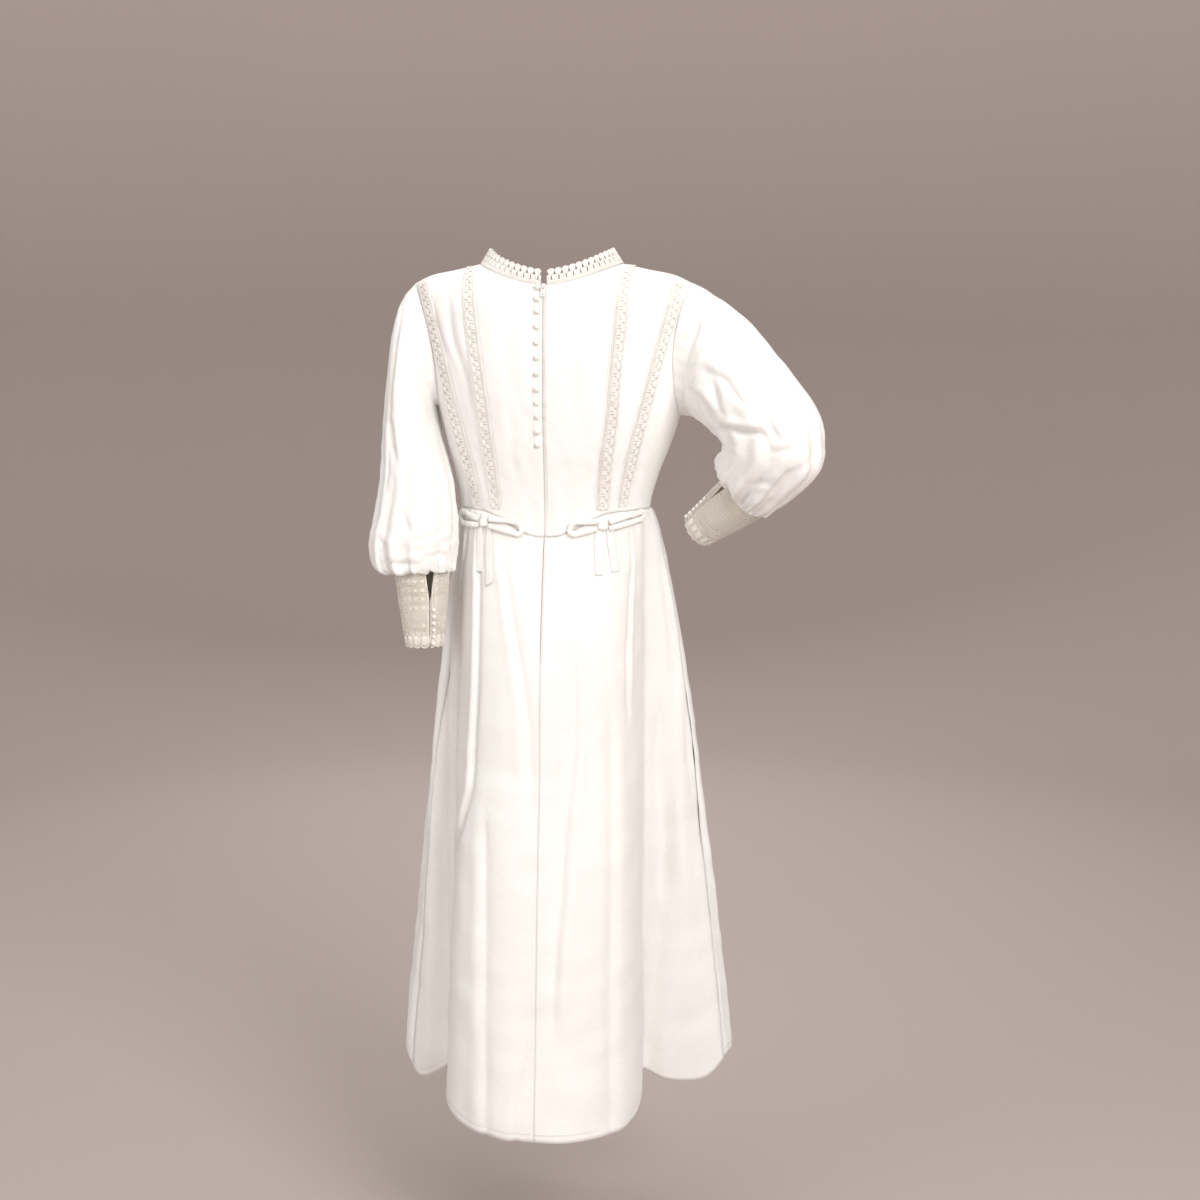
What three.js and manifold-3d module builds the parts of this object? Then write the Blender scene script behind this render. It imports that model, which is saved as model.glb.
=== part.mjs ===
// Crochet wedding dress in its worn, hollow form, in millimetres with +Z up.
// +X is the wearer's left and +Y the wearer's back. The origin is at the shoulders that hold it.
import * as THREE from 'three';
import Module from 'manifold-3d';
import { mergeVertices } from 'three/addons/utils/BufferGeometryUtils.js';

const wasm = await Module();
wasm.setup();

// Cloth and seams
const CLOTH = 1.5;
const CROCHET = 2.2;
const SEAM = 0.3;
const LIFT = 0.35;

// Bodice: half widths and depths of the torso at each height
const BODY = [
  { z: -400, left: 146, right: 150, back: 88, front: 98 },
  { z: -350, left: 135, right: 143, back: 81, front: 96 },
  { z: -300, left: 143, right: 156, back: 85, front: 104 },
  { z: -260, left: 153, right: 172, back: 92, front: 114 },
  { z: -215, left: 163, right: 187, back: 97, front: 122 },
  { z: -180, left: 171, right: 191, back: 99, front: 122 },
  { z: -120, left: 183, right: 195, back: 99, front: 110 },
  { z: -60, left: 194, right: 199, back: 91, front: 96 },
  { z: -27, left: 199, right: 201, back: 83, front: 86 },
  { z: 20, left: 201, right: 203, back: 74, front: 76 },
];
const BOXINESS = 2.3;
const SHOULDER = [
  { x: 0, z: 24 },
  { x: 50, z: 16 },
  { x: 104, z: 0 },
  { x: 138, z: -8 },
  { x: 176, z: -16 },
  { x: 200, z: -27 },
];
const SHOULDER_TIP = 200;
const CROWN_DROP = 70;
const NECK_HALF = 104;
const NECK = { back: { drop: 31, bow: 1.6 }, front: { drop: 78, bow: 2.2 } };
const UNDERARM = { left: -206, right: -216 };
const ARMHOLE_INSET = { back: 16, front: 22 };
const ARMHOLE_ROUNDNESS = 0.8;
const ARMHOLE_EASE = 4;
const WAIST = { side: -350, centreDrop: 36, narrowing: 12 };

// Grid of the panels: columns from the centre to the side seam, rows from the waist up
const COLUMNS = 10;
const NECK_COLUMN = 5;
const ROWS_TO_UNDERARM = 5;
const ROWS_OF_ARMHOLE = 10;
const ROWS = ROWS_TO_UNDERARM + ROWS_OF_ARMHOLE;

// Skirt hem seen from above: angle from the centre back toward the wearer's left
const HEM = [
  { angle: -180, radius: 178, z: -1240 },
  { angle: -166, radius: 190, z: -1238 },
  { angle: -152, radius: 199, z: -1236 },
  { angle: -137, radius: 194, z: -1238 },
  { angle: -122, radius: 214, z: -1232 },
  { angle: -108, radius: 250, z: -1216 },
  { angle: -98, radius: 270, z: -1190 },
  { angle: -91, radius: 264, z: -1184 },
  { angle: -86, radius: 232, z: -1216 },
  { angle: -81, radius: 180, z: -1216 },
  { angle: -75, radius: 149, z: -1200 },
  { angle: -68, radius: 153, z: -1198 },
  { angle: -61, radius: 165, z: -1206 },
  { angle: -52, radius: 183, z: -1218 },
  { angle: -42, radius: 202, z: -1228 },
  { angle: -30, radius: 214, z: -1236 },
  { angle: -14, radius: 220, z: -1240 },
  { angle: 0, radius: 215, z: -1242 },
  { angle: 14, radius: 220, z: -1240 },
  { angle: 30, radius: 215, z: -1236 },
  { angle: 42, radius: 204, z: -1228 },
  { angle: 53, radius: 185, z: -1216 },
  { angle: 63, radius: 169, z: -1204 },
  { angle: 71, radius: 161, z: -1198 },
  { angle: 77, radius: 159, z: -1198 },
  { angle: 83, radius: 178, z: -1222 },
  { angle: 88, radius: 212, z: -1238 },
  { angle: 93, radius: 238, z: -1202 },
  { angle: 100, radius: 244, z: -1200 },
  { angle: 112, radius: 229, z: -1222 },
  { angle: 126, radius: 197, z: -1234 },
  { angle: 140, radius: 190, z: -1238 },
  { angle: 154, radius: 200, z: -1238 },
  { angle: 168, radius: 190, z: -1240 },
  { angle: 180, radius: 178, z: -1240 },
];
const SKIRT_ROWS = 9;
const FALL = { mean: 0.78, lean: 0.1 };
const HIP = { fullness: 9, reach: 0.4 };
const FEEL_STEP = 0.01;
const TOP_MARGIN = 0.001;

// Sleeve rings in the plane of the arm: out is the distance from the shoulder tip
const SLEEVE_LEFT = {
  side: 1,
  rings: [
    { inOut: -32, inZ: -206, outOut: 21, outZ: -54, y: 3, half: 55, turn: 0 },
    { inOut: -34, inZ: -218, outOut: 31, outZ: -98, y: 14, half: 56, turn: 0 },
    { inOut: -42, inZ: -250, outOut: 36, outZ: -156, y: 32, half: 54, turn: 0 },
    { inOut: -56, inZ: -290, outOut: 39, outZ: -230, y: 48, half: 51, turn: 0 },
    { inOut: -66, inZ: -330, outOut: 40, outZ: -300, y: 62, half: 49, turn: 0 },
    { inOut: -69, inZ: -368, outOut: 48, outZ: -356, y: 68, half: 52, turn: 0 },
    { inOut: -68, inZ: -400, outOut: 54, outZ: -396, y: 72, half: 54, turn: 0 },
    { inOut: -64, inZ: -434, outOut: 46, outZ: -434, y: 74, half: 50, turn: 0 },
  ],
  cuff: {
    top: { out: -19, y: 74, z: -437 },
    wrist: { out: -22, y: 77, z: -549 },
    turn: 0,
  },
};
const SLEEVE_RIGHT = {
  side: -1,
  rings: [
    { inOut: 4, inZ: -217, outOut: 28, outZ: -40, y: 2, half: 56, turn: 14 },
    { inOut: 22, inZ: -222, outOut: 82, outZ: -72, y: 2, half: 62, turn: 32 },
    { inOut: 46, inZ: -230, outOut: 138, outZ: -112, y: 0, half: 64, turn: 40 },
    { inOut: 70, inZ: -241, outOut: 188, outZ: -155, y: 0, half: 64, turn: 41 },
    { inOut: 90, inZ: -254, outOut: 224, outZ: -200, y: 0, half: 64, turn: 41 },
    { inOut: 100, inZ: -266, outOut: 238, outZ: -246, y: 0, half: 63, turn: 41 },
    { inOut: 104, inZ: -273, outOut: 224, outZ: -296, y: 0, half: 60, turn: 41 },
    { inOut: 103, inZ: -279, outOut: 168, outZ: -350, y: 0, half: 50, turn: 41 },
  ],
  cuff: {
    top: { out: 120, y: 0, z: -318 },
    wrist: { out: 22, y: 0, z: -379 },
    turn: 41,
  },
};
const GATHERS = 13;
const GATHER_DEPTHS = [0, 0, 0, 0.5, 1, 1.5, 2, 2.5, 3];
const BODY_CLEARANCE = 3;

// Cuff tube: half sizes at the puff and at the wrist
const CUFF = { topAcross: 40, topDeep: 37, wristAcross: 27, wristDeep: 26 };
const CUFF_ROWS = 6;
const CUFF_SCALLOPS = 16;
const CUFF_COLUMNS = 2 * CUFF_SCALLOPS;
const CUFF_SCALLOP_DEPTH = 3;
const SLIT = { angle: 62, wide: 13, narrow: 1.6, closedAt: 0.4 };
const CUFF_BUTTONS = { count: 6, radius: 2.8, from: 0.5, to: 0.94, beside: 4 };
const ROSETTE = { angle: 110, at: 0.56, core: 7, ring: 17, soft: 3, height: 1.1, apart: 112 };

// Collar band
const COLLAR = { height: 22, leanSide: 14, leanBack: 6, leanFront: 9, notch: 4.5, steps: 5, scallop: 1.8 };

// Crochet strips: distance from the centre back of the free, scalloped edge and of the sewn edge
const STRIPS = {
  strip_outer_left: {
    side: 1,
    scallops: 27,
    rows: [
      { z: -344, free: 108, sewn: 93 },
      { z: -300, free: 120, sewn: 101 },
      { z: -245, free: 136, sewn: 115 },
      { z: -185, free: 150, sewn: 131 },
      { z: -115, free: 166, sewn: 148 },
      { z: -60, free: 181, sewn: 164 },
      { z: -27, free: 195, sewn: 179 },
    ],
  },
  strip_inner_left: {
    side: 1,
    scallops: 29,
    rows: [
      { z: -348, free: 79, sewn: 65 },
      { z: -285, free: 88, sewn: 70 },
      { z: -236, free: 95, sewn: 75 },
      { z: -185, free: 101, sewn: 81 },
      { z: -118, free: 109, sewn: 90 },
      { z: -50, free: 117, sewn: 99 },
      { z: -5, free: 122, sewn: 106 },
    ],
  },
  strip_inner_right: {
    side: -1,
    scallops: 29,
    rows: [
      { z: -348, free: 91, sewn: 73 },
      { z: -284, free: 97, sewn: 78 },
      { z: -217, free: 106, sewn: 88 },
      { z: -151, free: 111, sewn: 94 },
      { z: -85, free: 118, sewn: 99 },
      { z: -29, free: 120, sewn: 103 },
      { z: -3, free: 121, sewn: 106 },
    ],
  },
  strip_outer_right: {
    side: -1,
    scallops: 27,
    rows: [
      { z: -344, free: 116, sewn: 103 },
      { z: -315, free: 121, sewn: 107 },
      { z: -250, free: 138, sewn: 121 },
      { z: -191, free: 154, sewn: 137 },
      { z: -133, free: 168, sewn: 152 },
      { z: -88, free: 182, sewn: 163 },
      { z: -57, free: 188, sewn: 170 },
      { z: -27, free: 192, sewn: 175 },
    ],
  },
};
const STRIP_SCALLOP = 2.2;
const STRIP_LIFT = 0.7;
const STRIP_SAMPLES = 240;
const EDGE_MARGIN = 0.985;
const SEARCH_STEPS = 30;

// Centre back fastening
const BUTTON = { radius: 4, flat: 0.8, x: 7, sides: 8, bands: 5 };
const BUTTON_HEIGHTS = [-35, -50, -67, -88, -110, -131, -153, -175, -194, -213, -234, -253];
const ZIP = { top: -42, bottom: -522, width: 5, thick: 1.4 };
const SLIDER = { z: -34, width: 6.5, length: 9, thick: 2.4, bridgeWidth: 2, bridgeHigh: 3, bridgeLong: 6 };
const BRIDGE_WALL = 0.9;
const PULL = {
  width: 6.5,
  length: 14,
  thick: 1,
  below: 1.2,
  bar: 0.55,
  window: 3.4,
  windowEnd: 3.4,
  hole: 1.1,
  holeUp: 3.2,
};

// Waist ties: each knot's centre, its loops and its tails down from it
const TIE = {
  halfWide: 4,
  halfThick: 2.2,
  tailWide: 13,
  tailThick: 1.8,
  layer: 3.2,
  lift: 0.6,
  root: 4.5,
  gap: 0.8,
  feel: 7,
  limbSteps: 4,
  turnSteps: 5,
  tailSteps: 7,
};
const KNOT = { wide: 15, tall: 13, thick: 6, round: 2 };
const BOWS = {
  left: {
    knot: { x: 88, z: -368 },
    loops: {
      outer: { toward: 1, reach: 31, drop: -6, radius: 8 },
      inner: { toward: -1, reach: 48, drop: 8, radius: 8.5 },
    },
    tails: {
      outer: { slant: 1, length: 70, shift: 7, cut: 0.1 },
      inner: { slant: -2, length: 86, shift: -7.4, cut: 0.5 },
    },
  },
  right: {
    knot: { x: -83, z: -370 },
    loops: {
      outer: { toward: -1, reach: 43, drop: -13, radius: 5.2 },
      inner: { toward: 1, reach: 38, drop: 5, radius: 9.5 },
    },
    tails: {
      outer: { slant: -9, length: 64, shift: -9.5, cut: 0.1 },
      inner: { slant: -3, length: 68, shift: 6, cut: 0.1 },
    },
  },
};

// Materials
function cloth(name, colour, roughness) {
  const material = new THREE.MeshStandardMaterial({ color: colour, roughness, metalness: 0 });
  material.name = name;
  return material;
}
const WOVEN = cloth('woven cream cloth', 0xf6f2ea, 0.85);
const LACE = cloth('cotton crochet', 0xeee4d0, 0.9);
const BALL = cloth('covered button', 0xf0e8d8, 0.7);
const NYLON = cloth('white zip', 0xf2f0ea, 0.45);

const dress = new THREE.Group();

function add(name, geometry, material) {
  const mesh = new THREE.Mesh(geometry, material);
  mesh.name = name;
  dress.add(mesh);
  return mesh;
}

// Reading a table: a smooth curve through one column against another
function along(rows, by, key) {
  const at = rows.map((row) => row[by]);
  const to = rows.map((row) => row[key]);
  const last = at.length - 1;
  const slopes = at.map((_, i) => {
    const lower = Math.max(i - 1, 0);
    const upper = Math.min(i + 1, last);
    return (to[upper] - to[lower]) / (at[upper] - at[lower]);
  });
  return (value) => {
    const inside = Math.min(Math.max(value, at[0]), at[last]);
    let i = 0;
    while (i < last - 1 && inside > at[i + 1]) i += 1;
    const span = at[i + 1] - at[i];
    const f = (inside - at[i]) / span;
    const g = 1 - f;
    const ends = to[i] * g * g * (1 + 2 * f) + to[i + 1] * f * f * (3 - 2 * f);
    return ends + span * f * g * (slopes[i] * g - slopes[i + 1] * f);
  };
}

function mix(a, b, f) {
  return a + (b - a) * f;
}

function signedPower(value, power) {
  return Math.sign(value) * Math.abs(value) ** power;
}

function radians(degrees) {
  return degrees * Math.PI / 180;
}

// A closed wall between an outer and an inner grid of points, open or joined round in columns
function wall(outer, inner, round = false) {
  const rows = outer.length;
  const columns = outer[0].length;
  const positions = [];
  for (const grid of [outer, inner]) {
    for (const row of grid) {
      for (const point of row) positions.push(point.x, point.y, point.z);
    }
  }
  const skin = rows * columns;
  const out = (i, j) => i * columns + j % columns;
  const under = (i, j) => skin + out(i, j);
  const faces = [];
  const quad = (a, b, c, d) => faces.push(a, b, c, a, c, d);
  const spans = round ? columns : columns - 1;
  for (let i = 0; i < rows - 1; i += 1) {
    for (let j = 0; j < spans; j += 1) {
      quad(out(i, j), out(i, j + 1), out(i + 1, j + 1), out(i + 1, j));
      quad(under(i, j), under(i + 1, j), under(i + 1, j + 1), under(i, j + 1));
    }
  }
  for (let j = 0; j < spans; j += 1) {
    quad(out(0, j), under(0, j), under(0, j + 1), out(0, j + 1));
    quad(out(rows - 1, j), out(rows - 1, j + 1), under(rows - 1, j + 1), under(rows - 1, j));
  }
  if (!round) {
    for (let i = 0; i < rows - 1; i += 1) {
      quad(out(i, 0), out(i + 1, 0), under(i + 1, 0), under(i, 0));
      quad(out(i, spans), under(i, spans), under(i + 1, spans), out(i + 1, spans));
    }
  }
  return outward(positions, faces);
}

// A geometry whose faces point out, whichever way the grid ran
function outward(positions, faces) {
  let volume = 0;
  const a = new THREE.Vector3();
  const b = new THREE.Vector3();
  const c = new THREE.Vector3();
  for (let i = 0; i < faces.length; i += 3) {
    a.fromArray(positions, faces[i] * 3);
    b.fromArray(positions, faces[i + 1] * 3);
    c.fromArray(positions, faces[i + 2] * 3);
    volume += a.dot(b.cross(c));
  }
  const turned = [...faces];
  if (volume < 0) {
    for (let i = 0; i < turned.length; i += 3) {
      [turned[i + 1], turned[i + 2]] = [turned[i + 2], turned[i + 1]];
    }
  }
  const geometry = new THREE.BufferGeometry();
  geometry.setAttribute('position', new THREE.Float32BufferAttribute(positions, 3));
  geometry.setIndex(turned);
  geometry.computeVertexNormals();
  return geometry;
}

// Torso surface
const halfOf = { left: along(BODY, 'z', 'left'), right: along(BODY, 'z', 'right') };
const depthOf = { back: along(BODY, 'z', 'back'), front: along(BODY, 'z', 'front') };
const shoulderAt = along(SHOULDER, 'x', 'z');

function handOf(side) {
  return side > 0 ? 'left' : 'right';
}

function crown(x, z) {
  const below = shoulderAt(x) - z;
  if (below <= 0) return 0;
  if (below >= CROWN_DROP) return 1;
  return Math.sqrt(1 - (1 - below / CROWN_DROP) ** 2);
}

function torsoDepth(side, face, x, z) {
  const across = Math.min(x / halfOf[handOf(side)](z), 1);
  const section = (1 - across ** BOXINESS) ** (1 / BOXINESS);
  return depthOf[face](z) * section * crown(x, z);
}

// Waist seam height, lowest at the centre back
function waistHeight(angle, face) {
  if (face === 'front') return WAIST.side;
  return WAIST.side - WAIST.centreDrop * Math.cos(angle) ** WAIST.narrowing;
}

// One half of the bodice, columns from the centre to the side and rows from the waist up
function bodiceHalf(side, face) {
  const half = halfOf[handOf(side)];
  const facing = face === 'back' ? 1 : -1;
  const neck = NECK[face];
  const underarm = UNDERARM[handOf(side)];
  const tipZ = shoulderAt(SHOULDER_TIP);
  const underarmShare = (underarm - WAIST.side) / (tipZ - WAIST.side);
  const shares = [];
  for (let i = 0; i <= ROWS; i += 1) {
    const upper = (1 - Math.cos(Math.PI * (i - ROWS_TO_UNDERARM) / ROWS_OF_ARMHOLE)) / 2;
    const below = i <= ROWS_TO_UNDERARM;
    shares.push(below ? underarmShare * i / ROWS_TO_UNDERARM : mix(underarmShare, 1, upper));
  }
  const bulge = (j) => Math.sin(Math.PI / 2 * j / COLUMNS) ** (2 / BOXINESS);
  const armholeX = (z) => {
    if (z <= underarm) return half(z);
    const rise = Math.min((z - underarm) / (tipZ - underarm), 1);
    return half(z) - ARMHOLE_INSET[face] * Math.sin(Math.PI * rise) ** ARMHOLE_ROUNDNESS;
  };
  const outer = shares.map((share) => {
    const row = [];
    for (let j = 0; j <= COLUMNS; j += 1) {
      const across = bulge(j);
      const neckShare = bulge(NECK_COLUMN);
      const inNeck = j <= NECK_COLUMN;
      const topX = inNeck
        ? NECK_HALF * across / neckShare
        : mix(NECK_HALF, SHOULDER_TIP, (across - neckShare) / (1 - neckShare));
      const neckZ = neck.drop * ((topX / NECK_HALF) ** neck.bow - 1);
      const topZ = inNeck ? neckZ : shoulderAt(topX);
      const z = mix(waistHeight(Math.PI / 2 * j / COLUMNS, face), topZ, share);
      const edgeZ = mix(WAIST.side, tipZ, share);
      const ease = share * share * (3 - 2 * share);
      const edgeBase = mix(half(edgeZ), SHOULDER_TIP, ease);
      const x = mix(across * half(z), topX, ease) + (armholeX(edgeZ) - edgeBase) * across ** ARMHOLE_EASE;
      const y = Math.max(torsoDepth(side, face, x, z), SEAM / 2);
      row.push(new THREE.Vector3(side * x, facing * y, z));
    }
    return row;
  });
  return outer;
}

// Normals of a grid by the differences between neighbours, pointing away from the given axis
function gridNormals(outer) {
  const lastRow = outer.length - 1;
  const lastColumn = outer[0].length - 1;
  return outer.map((row, i) => row.map((point, j) => {
    const up = outer[Math.min(i + 1, lastRow)][j].clone().sub(outer[Math.max(i - 1, 0)][j]);
    const right = row[Math.min(j + 1, lastColumn)].clone().sub(row[Math.max(j - 1, 0)]);
    const normal = up.cross(right).normalize();
    const away = new THREE.Vector3(point.x, point.y, Math.max(point.z + CROWN_DROP, 0));
    return normal.dot(away) < 0 ? normal.negate() : normal;
  }));
}

// The inner points of a wall: each outer point moved in along its normal
function moved(outer, normals, distance) {
  return outer.map((row, i) => row.map((point, j) => {
    return point.clone().addScaledVector(normals[i][j], distance);
  }));
}

function flatten(normal, axis) {
  normal[axis] = 0;
  normal.normalize();
}

// Rim directions that keep the seams between panels parallel
function squareRims(normals) {
  const lastColumn = normals[0].length - 1;
  normals.forEach((row, i) => {
    flatten(row[0], 'x');
    if (i <= ROWS_TO_UNDERARM) flatten(row[lastColumn], 'y');
  });
  for (let j = NECK_COLUMN; j <= lastColumn; j += 1) flatten(normals[ROWS][j], 'y');
  for (const normal of normals[0]) flatten(normal, 'z');
}

// Bodice back: two panels that meet along the zip
const halves = {};
for (const side of [1, -1]) {
  const hand = handOf(side);
  const back = bodiceHalf(side, 'back');
  for (const row of back) row[0].x = side * SEAM / 2;
  const backNormals = gridNormals(back);
  squareRims(backNormals);
  const front = bodiceHalf(side, 'front');
  const frontNormals = gridNormals(front);
  squareRims(frontNormals);
  halves[hand] = {
    side,
    back: { outer: back, normals: backNormals, inner: moved(back, backNormals, -CLOTH) },
    front: { outer: front, normals: frontNormals, inner: moved(front, frontNormals, -CLOTH) },
  };
  add(`bodice_back_${hand}`, wall(halves[hand].back.outer, halves[hand].back.inner), WOVEN);
}

// Bodice front: one panel, from the right side seam across to the left
function joinHalves(right, left) {
  return right.map((row, i) => [...row.slice(1).reverse(), ...left[i]]);
}
const frontOuter = joinHalves(halves.right.front.outer, halves.left.front.outer);
const frontInner = joinHalves(halves.right.front.inner, halves.left.front.inner);
add('bodice_front', wall(frontOuter, frontInner), WOVEN);

// Skirt surface between the waist seam and the hem
const hemRadius = along(HEM, 'angle', 'radius');
const hemHeight = along(HEM, 'angle', 'z');

function waistPoint(angle) {
  const face = Math.cos(angle) >= 0 ? 'back' : 'front';
  const z = waistHeight(angle, face);
  const half = halfOf[Math.sin(angle) >= 0 ? 'left' : 'right'](z);
  const x = half * signedPower(Math.sin(angle), 2 / BOXINESS);
  const y = depthOf[face](z) * signedPower(Math.cos(angle), 2 / BOXINESS);
  return new THREE.Vector3(x, y, z);
}

function skirtPoint(angle, share) {
  const degrees = THREE.MathUtils.euclideanModulo(angle * 180 / Math.PI + 180, 360) - 180;
  const top = waistPoint(angle);
  const radius = hemRadius(degrees);
  const power = FALL.mean + FALL.lean * Math.sin(angle);
  const spread = share ** power;
  const hip = HIP.fullness * Math.sin(Math.PI * Math.min(share / HIP.reach, 1)) * Math.cos(angle) ** 2;
  const x = mix(top.x, radius * Math.sin(angle), spread);
  const y = mix(top.y, radius * Math.cos(angle), spread) + Math.sign(Math.cos(angle)) * hip;
  return new THREE.Vector3(x, y, mix(top.z - SEAM, hemHeight(degrees), share));
}

function skirtNormal(angle, share) {
  const across = skirtPoint(angle + FEEL_STEP, share).sub(skirtPoint(angle - FEEL_STEP, share));
  const lower = skirtPoint(angle, Math.min(share + FEEL_STEP, 1));
  const down = lower.sub(skirtPoint(angle, Math.max(share - FEEL_STEP, TOP_MARGIN)));
  const normal = across.cross(down).normalize();
  const away = new THREE.Vector3(Math.sin(angle), Math.cos(angle), 0);
  return normal.dot(away) < 0 ? normal.negate() : normal;
}

// One skirt panel under a row of bodice points, each span of the row split in pieces
function skirtPanel(edge, edgeNormals, angles, splits) {
  const outer = [[]];
  const inner = [[]];
  const turns = [];
  for (let j = 0; j < angles.length; j += 1) {
    const pieces = j < angles.length - 1 ? splits : 1;
    for (let k = 0; k < pieces; k += 1) {
      const f = k / pieces;
      const next = Math.min(j + 1, angles.length - 1);
      const top = edge[j].clone().lerp(edge[next], f);
      top.z -= SEAM;
      const normal = edgeNormals[j].clone().lerp(edgeNormals[next], f).normalize();
      outer[0].push(top);
      inner[0].push(top.clone().addScaledVector(normal, -CLOTH));
      turns.push(mix(angles[j], angles[next], f));
    }
  }
  const ends = [turns[0], turns[turns.length - 1]];
  for (let i = 1; i <= SKIRT_ROWS; i += 1) {
    const share = i / SKIRT_ROWS;
    const inset = ends.map((angle) => {
      const moved = skirtPoint(angle + FEEL_STEP, share).distanceTo(skirtPoint(angle, share));
      return SEAM / 2 * FEEL_STEP / moved * Math.sign(turns[1] - turns[0]);
    });
    const row = turns.map((angle, j) => {
      if (j === 0) return angle + inset[0];
      return j === turns.length - 1 ? angle - inset[1] : angle;
    });
    outer.push(row.map((angle) => skirtPoint(angle, share)));
    inner.push(row.map((angle, j) => {
      return outer[i][j].clone().addScaledVector(skirtNormal(angle, share), -CLOTH);
    }));
  }
  return { outer, inner };
}

const quarter = Array.from({ length: COLUMNS + 1 }, (_, j) => Math.PI / 2 * j / COLUMNS);
const skirts = {
  left: skirtPanel(halves.left.back.outer[0], halves.left.back.normals[0], quarter, 2),
  right: skirtPanel(halves.right.back.outer[0], halves.right.back.normals[0], quarter.map((a) => -a), 2),
};
add('skirt_back_left', wall(skirts.left.outer, skirts.left.inner), WOVEN);
add('skirt_back_right', wall(skirts.right.outer, skirts.right.inner), WOVEN);
const frontNormalRow = joinHalves(halves.right.front.normals, halves.left.front.normals)[0];
const frontAngles = [];
for (let j = 0; j <= 2 * COLUMNS; j += 1) frontAngles.push(-Math.PI / 2 * (1 + j / COLUMNS));
const skirtFront = skirtPanel(frontOuter[0], frontNormalRow, frontAngles, 1);
add('skirt_front', wall(skirtFront.outer, skirtFront.inner), WOVEN);

// Armhole edge: from the underarm up the back, over the shoulder tip and down the front
function armholeLoop(half) {
  const edge = (face, i) => {
    const panel = half[face];
    return { point: panel.outer[i][COLUMNS], normal: panel.normals[i][COLUMNS] };
  };
  const loop = [];
  for (let i = ROWS_TO_UNDERARM; i < ROWS; i += 1) loop.push(edge('back', i));
  for (let i = ROWS; i > ROWS_TO_UNDERARM; i -= 1) loop.push(edge('front', i));
  const centred = loop.map(({ point, normal }) => ({ point: point.clone(), normal: normal.clone() }));
  centred[0].point.y = 0;
  centred[ROWS_OF_ARMHOLE].point.y = 0;
  return centred.map(({ point, normal }, i) => {
    const before = centred[(i + centred.length - 1) % centred.length].point;
    const after = centred[(i + 1) % centred.length].point;
    const tangent = after.clone().sub(before).normalize();
    const beyond = normal.clone().cross(tangent).multiplyScalar(half.side).normalize();
    return { point: point.clone().addScaledVector(beyond, SEAM), normal };
  });
}

// A point in the plane of the arm: out from the shoulder tip, turned toward the back
function armPoint(side, out, y, z, turn) {
  const angle = radians(turn);
  const x = side * (SHOULDER_TIP + out * Math.cos(angle));
  return new THREE.Vector3(x, y + out * Math.sin(angle), z);
}

function armAcross(side, turn) {
  return new THREE.Vector3(-side * Math.sin(radians(turn)), Math.cos(radians(turn)), 0);
}

// The cuff's axis and cross directions, from the puff to the wrist
function cuffFrame({ side, cuff }) {
  const top = armPoint(side, cuff.top.out, cuff.top.y, cuff.top.z, cuff.turn);
  const wrist = armPoint(side, cuff.wrist.out, cuff.wrist.y, cuff.wrist.z, cuff.turn);
  const axis = wrist.clone().sub(top).normalize();
  const deep = armAcross(side, cuff.turn);
  deep.addScaledVector(axis, -deep.dot(axis)).normalize();
  const outwardSide = axis.clone().cross(deep).multiplyScalar(side).normalize();
  return { top, wrist, axis, deep, across: outwardSide };
}

function keepOffBody(side, point, clearance) {
  const waistZ = WAIST.side;
  let limit;
  if (point.z >= waistZ) {
    const half = halfOf[handOf(side)](point.z);
    const depth = depthOf[point.y > 0 ? 'back' : 'front'](point.z);
    const share = Math.min(Math.abs(point.y) / depth, 1);
    limit = half * (1 - share ** BOXINESS) ** (1 / BOXINESS);
  } else {
    const angle = Math.atan2(point.x, point.y);
    const share = (point.z - waistZ) / (hemHeight(angle * 180 / Math.PI) - waistZ);
    const skirt = skirtPoint(angle, Math.min(Math.max(share, 0), 1));
    const reach = Math.hypot(skirt.x, skirt.y) / Math.max(Math.hypot(point.x, point.y), 1);
    limit = Math.abs(point.x) * reach;
  }
  const nearest = limit + clearance;
  if (Math.abs(point.x) < nearest && point.z < UNDERARM[handOf(side)]) point.x = side * nearest;
  return point;
}

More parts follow.
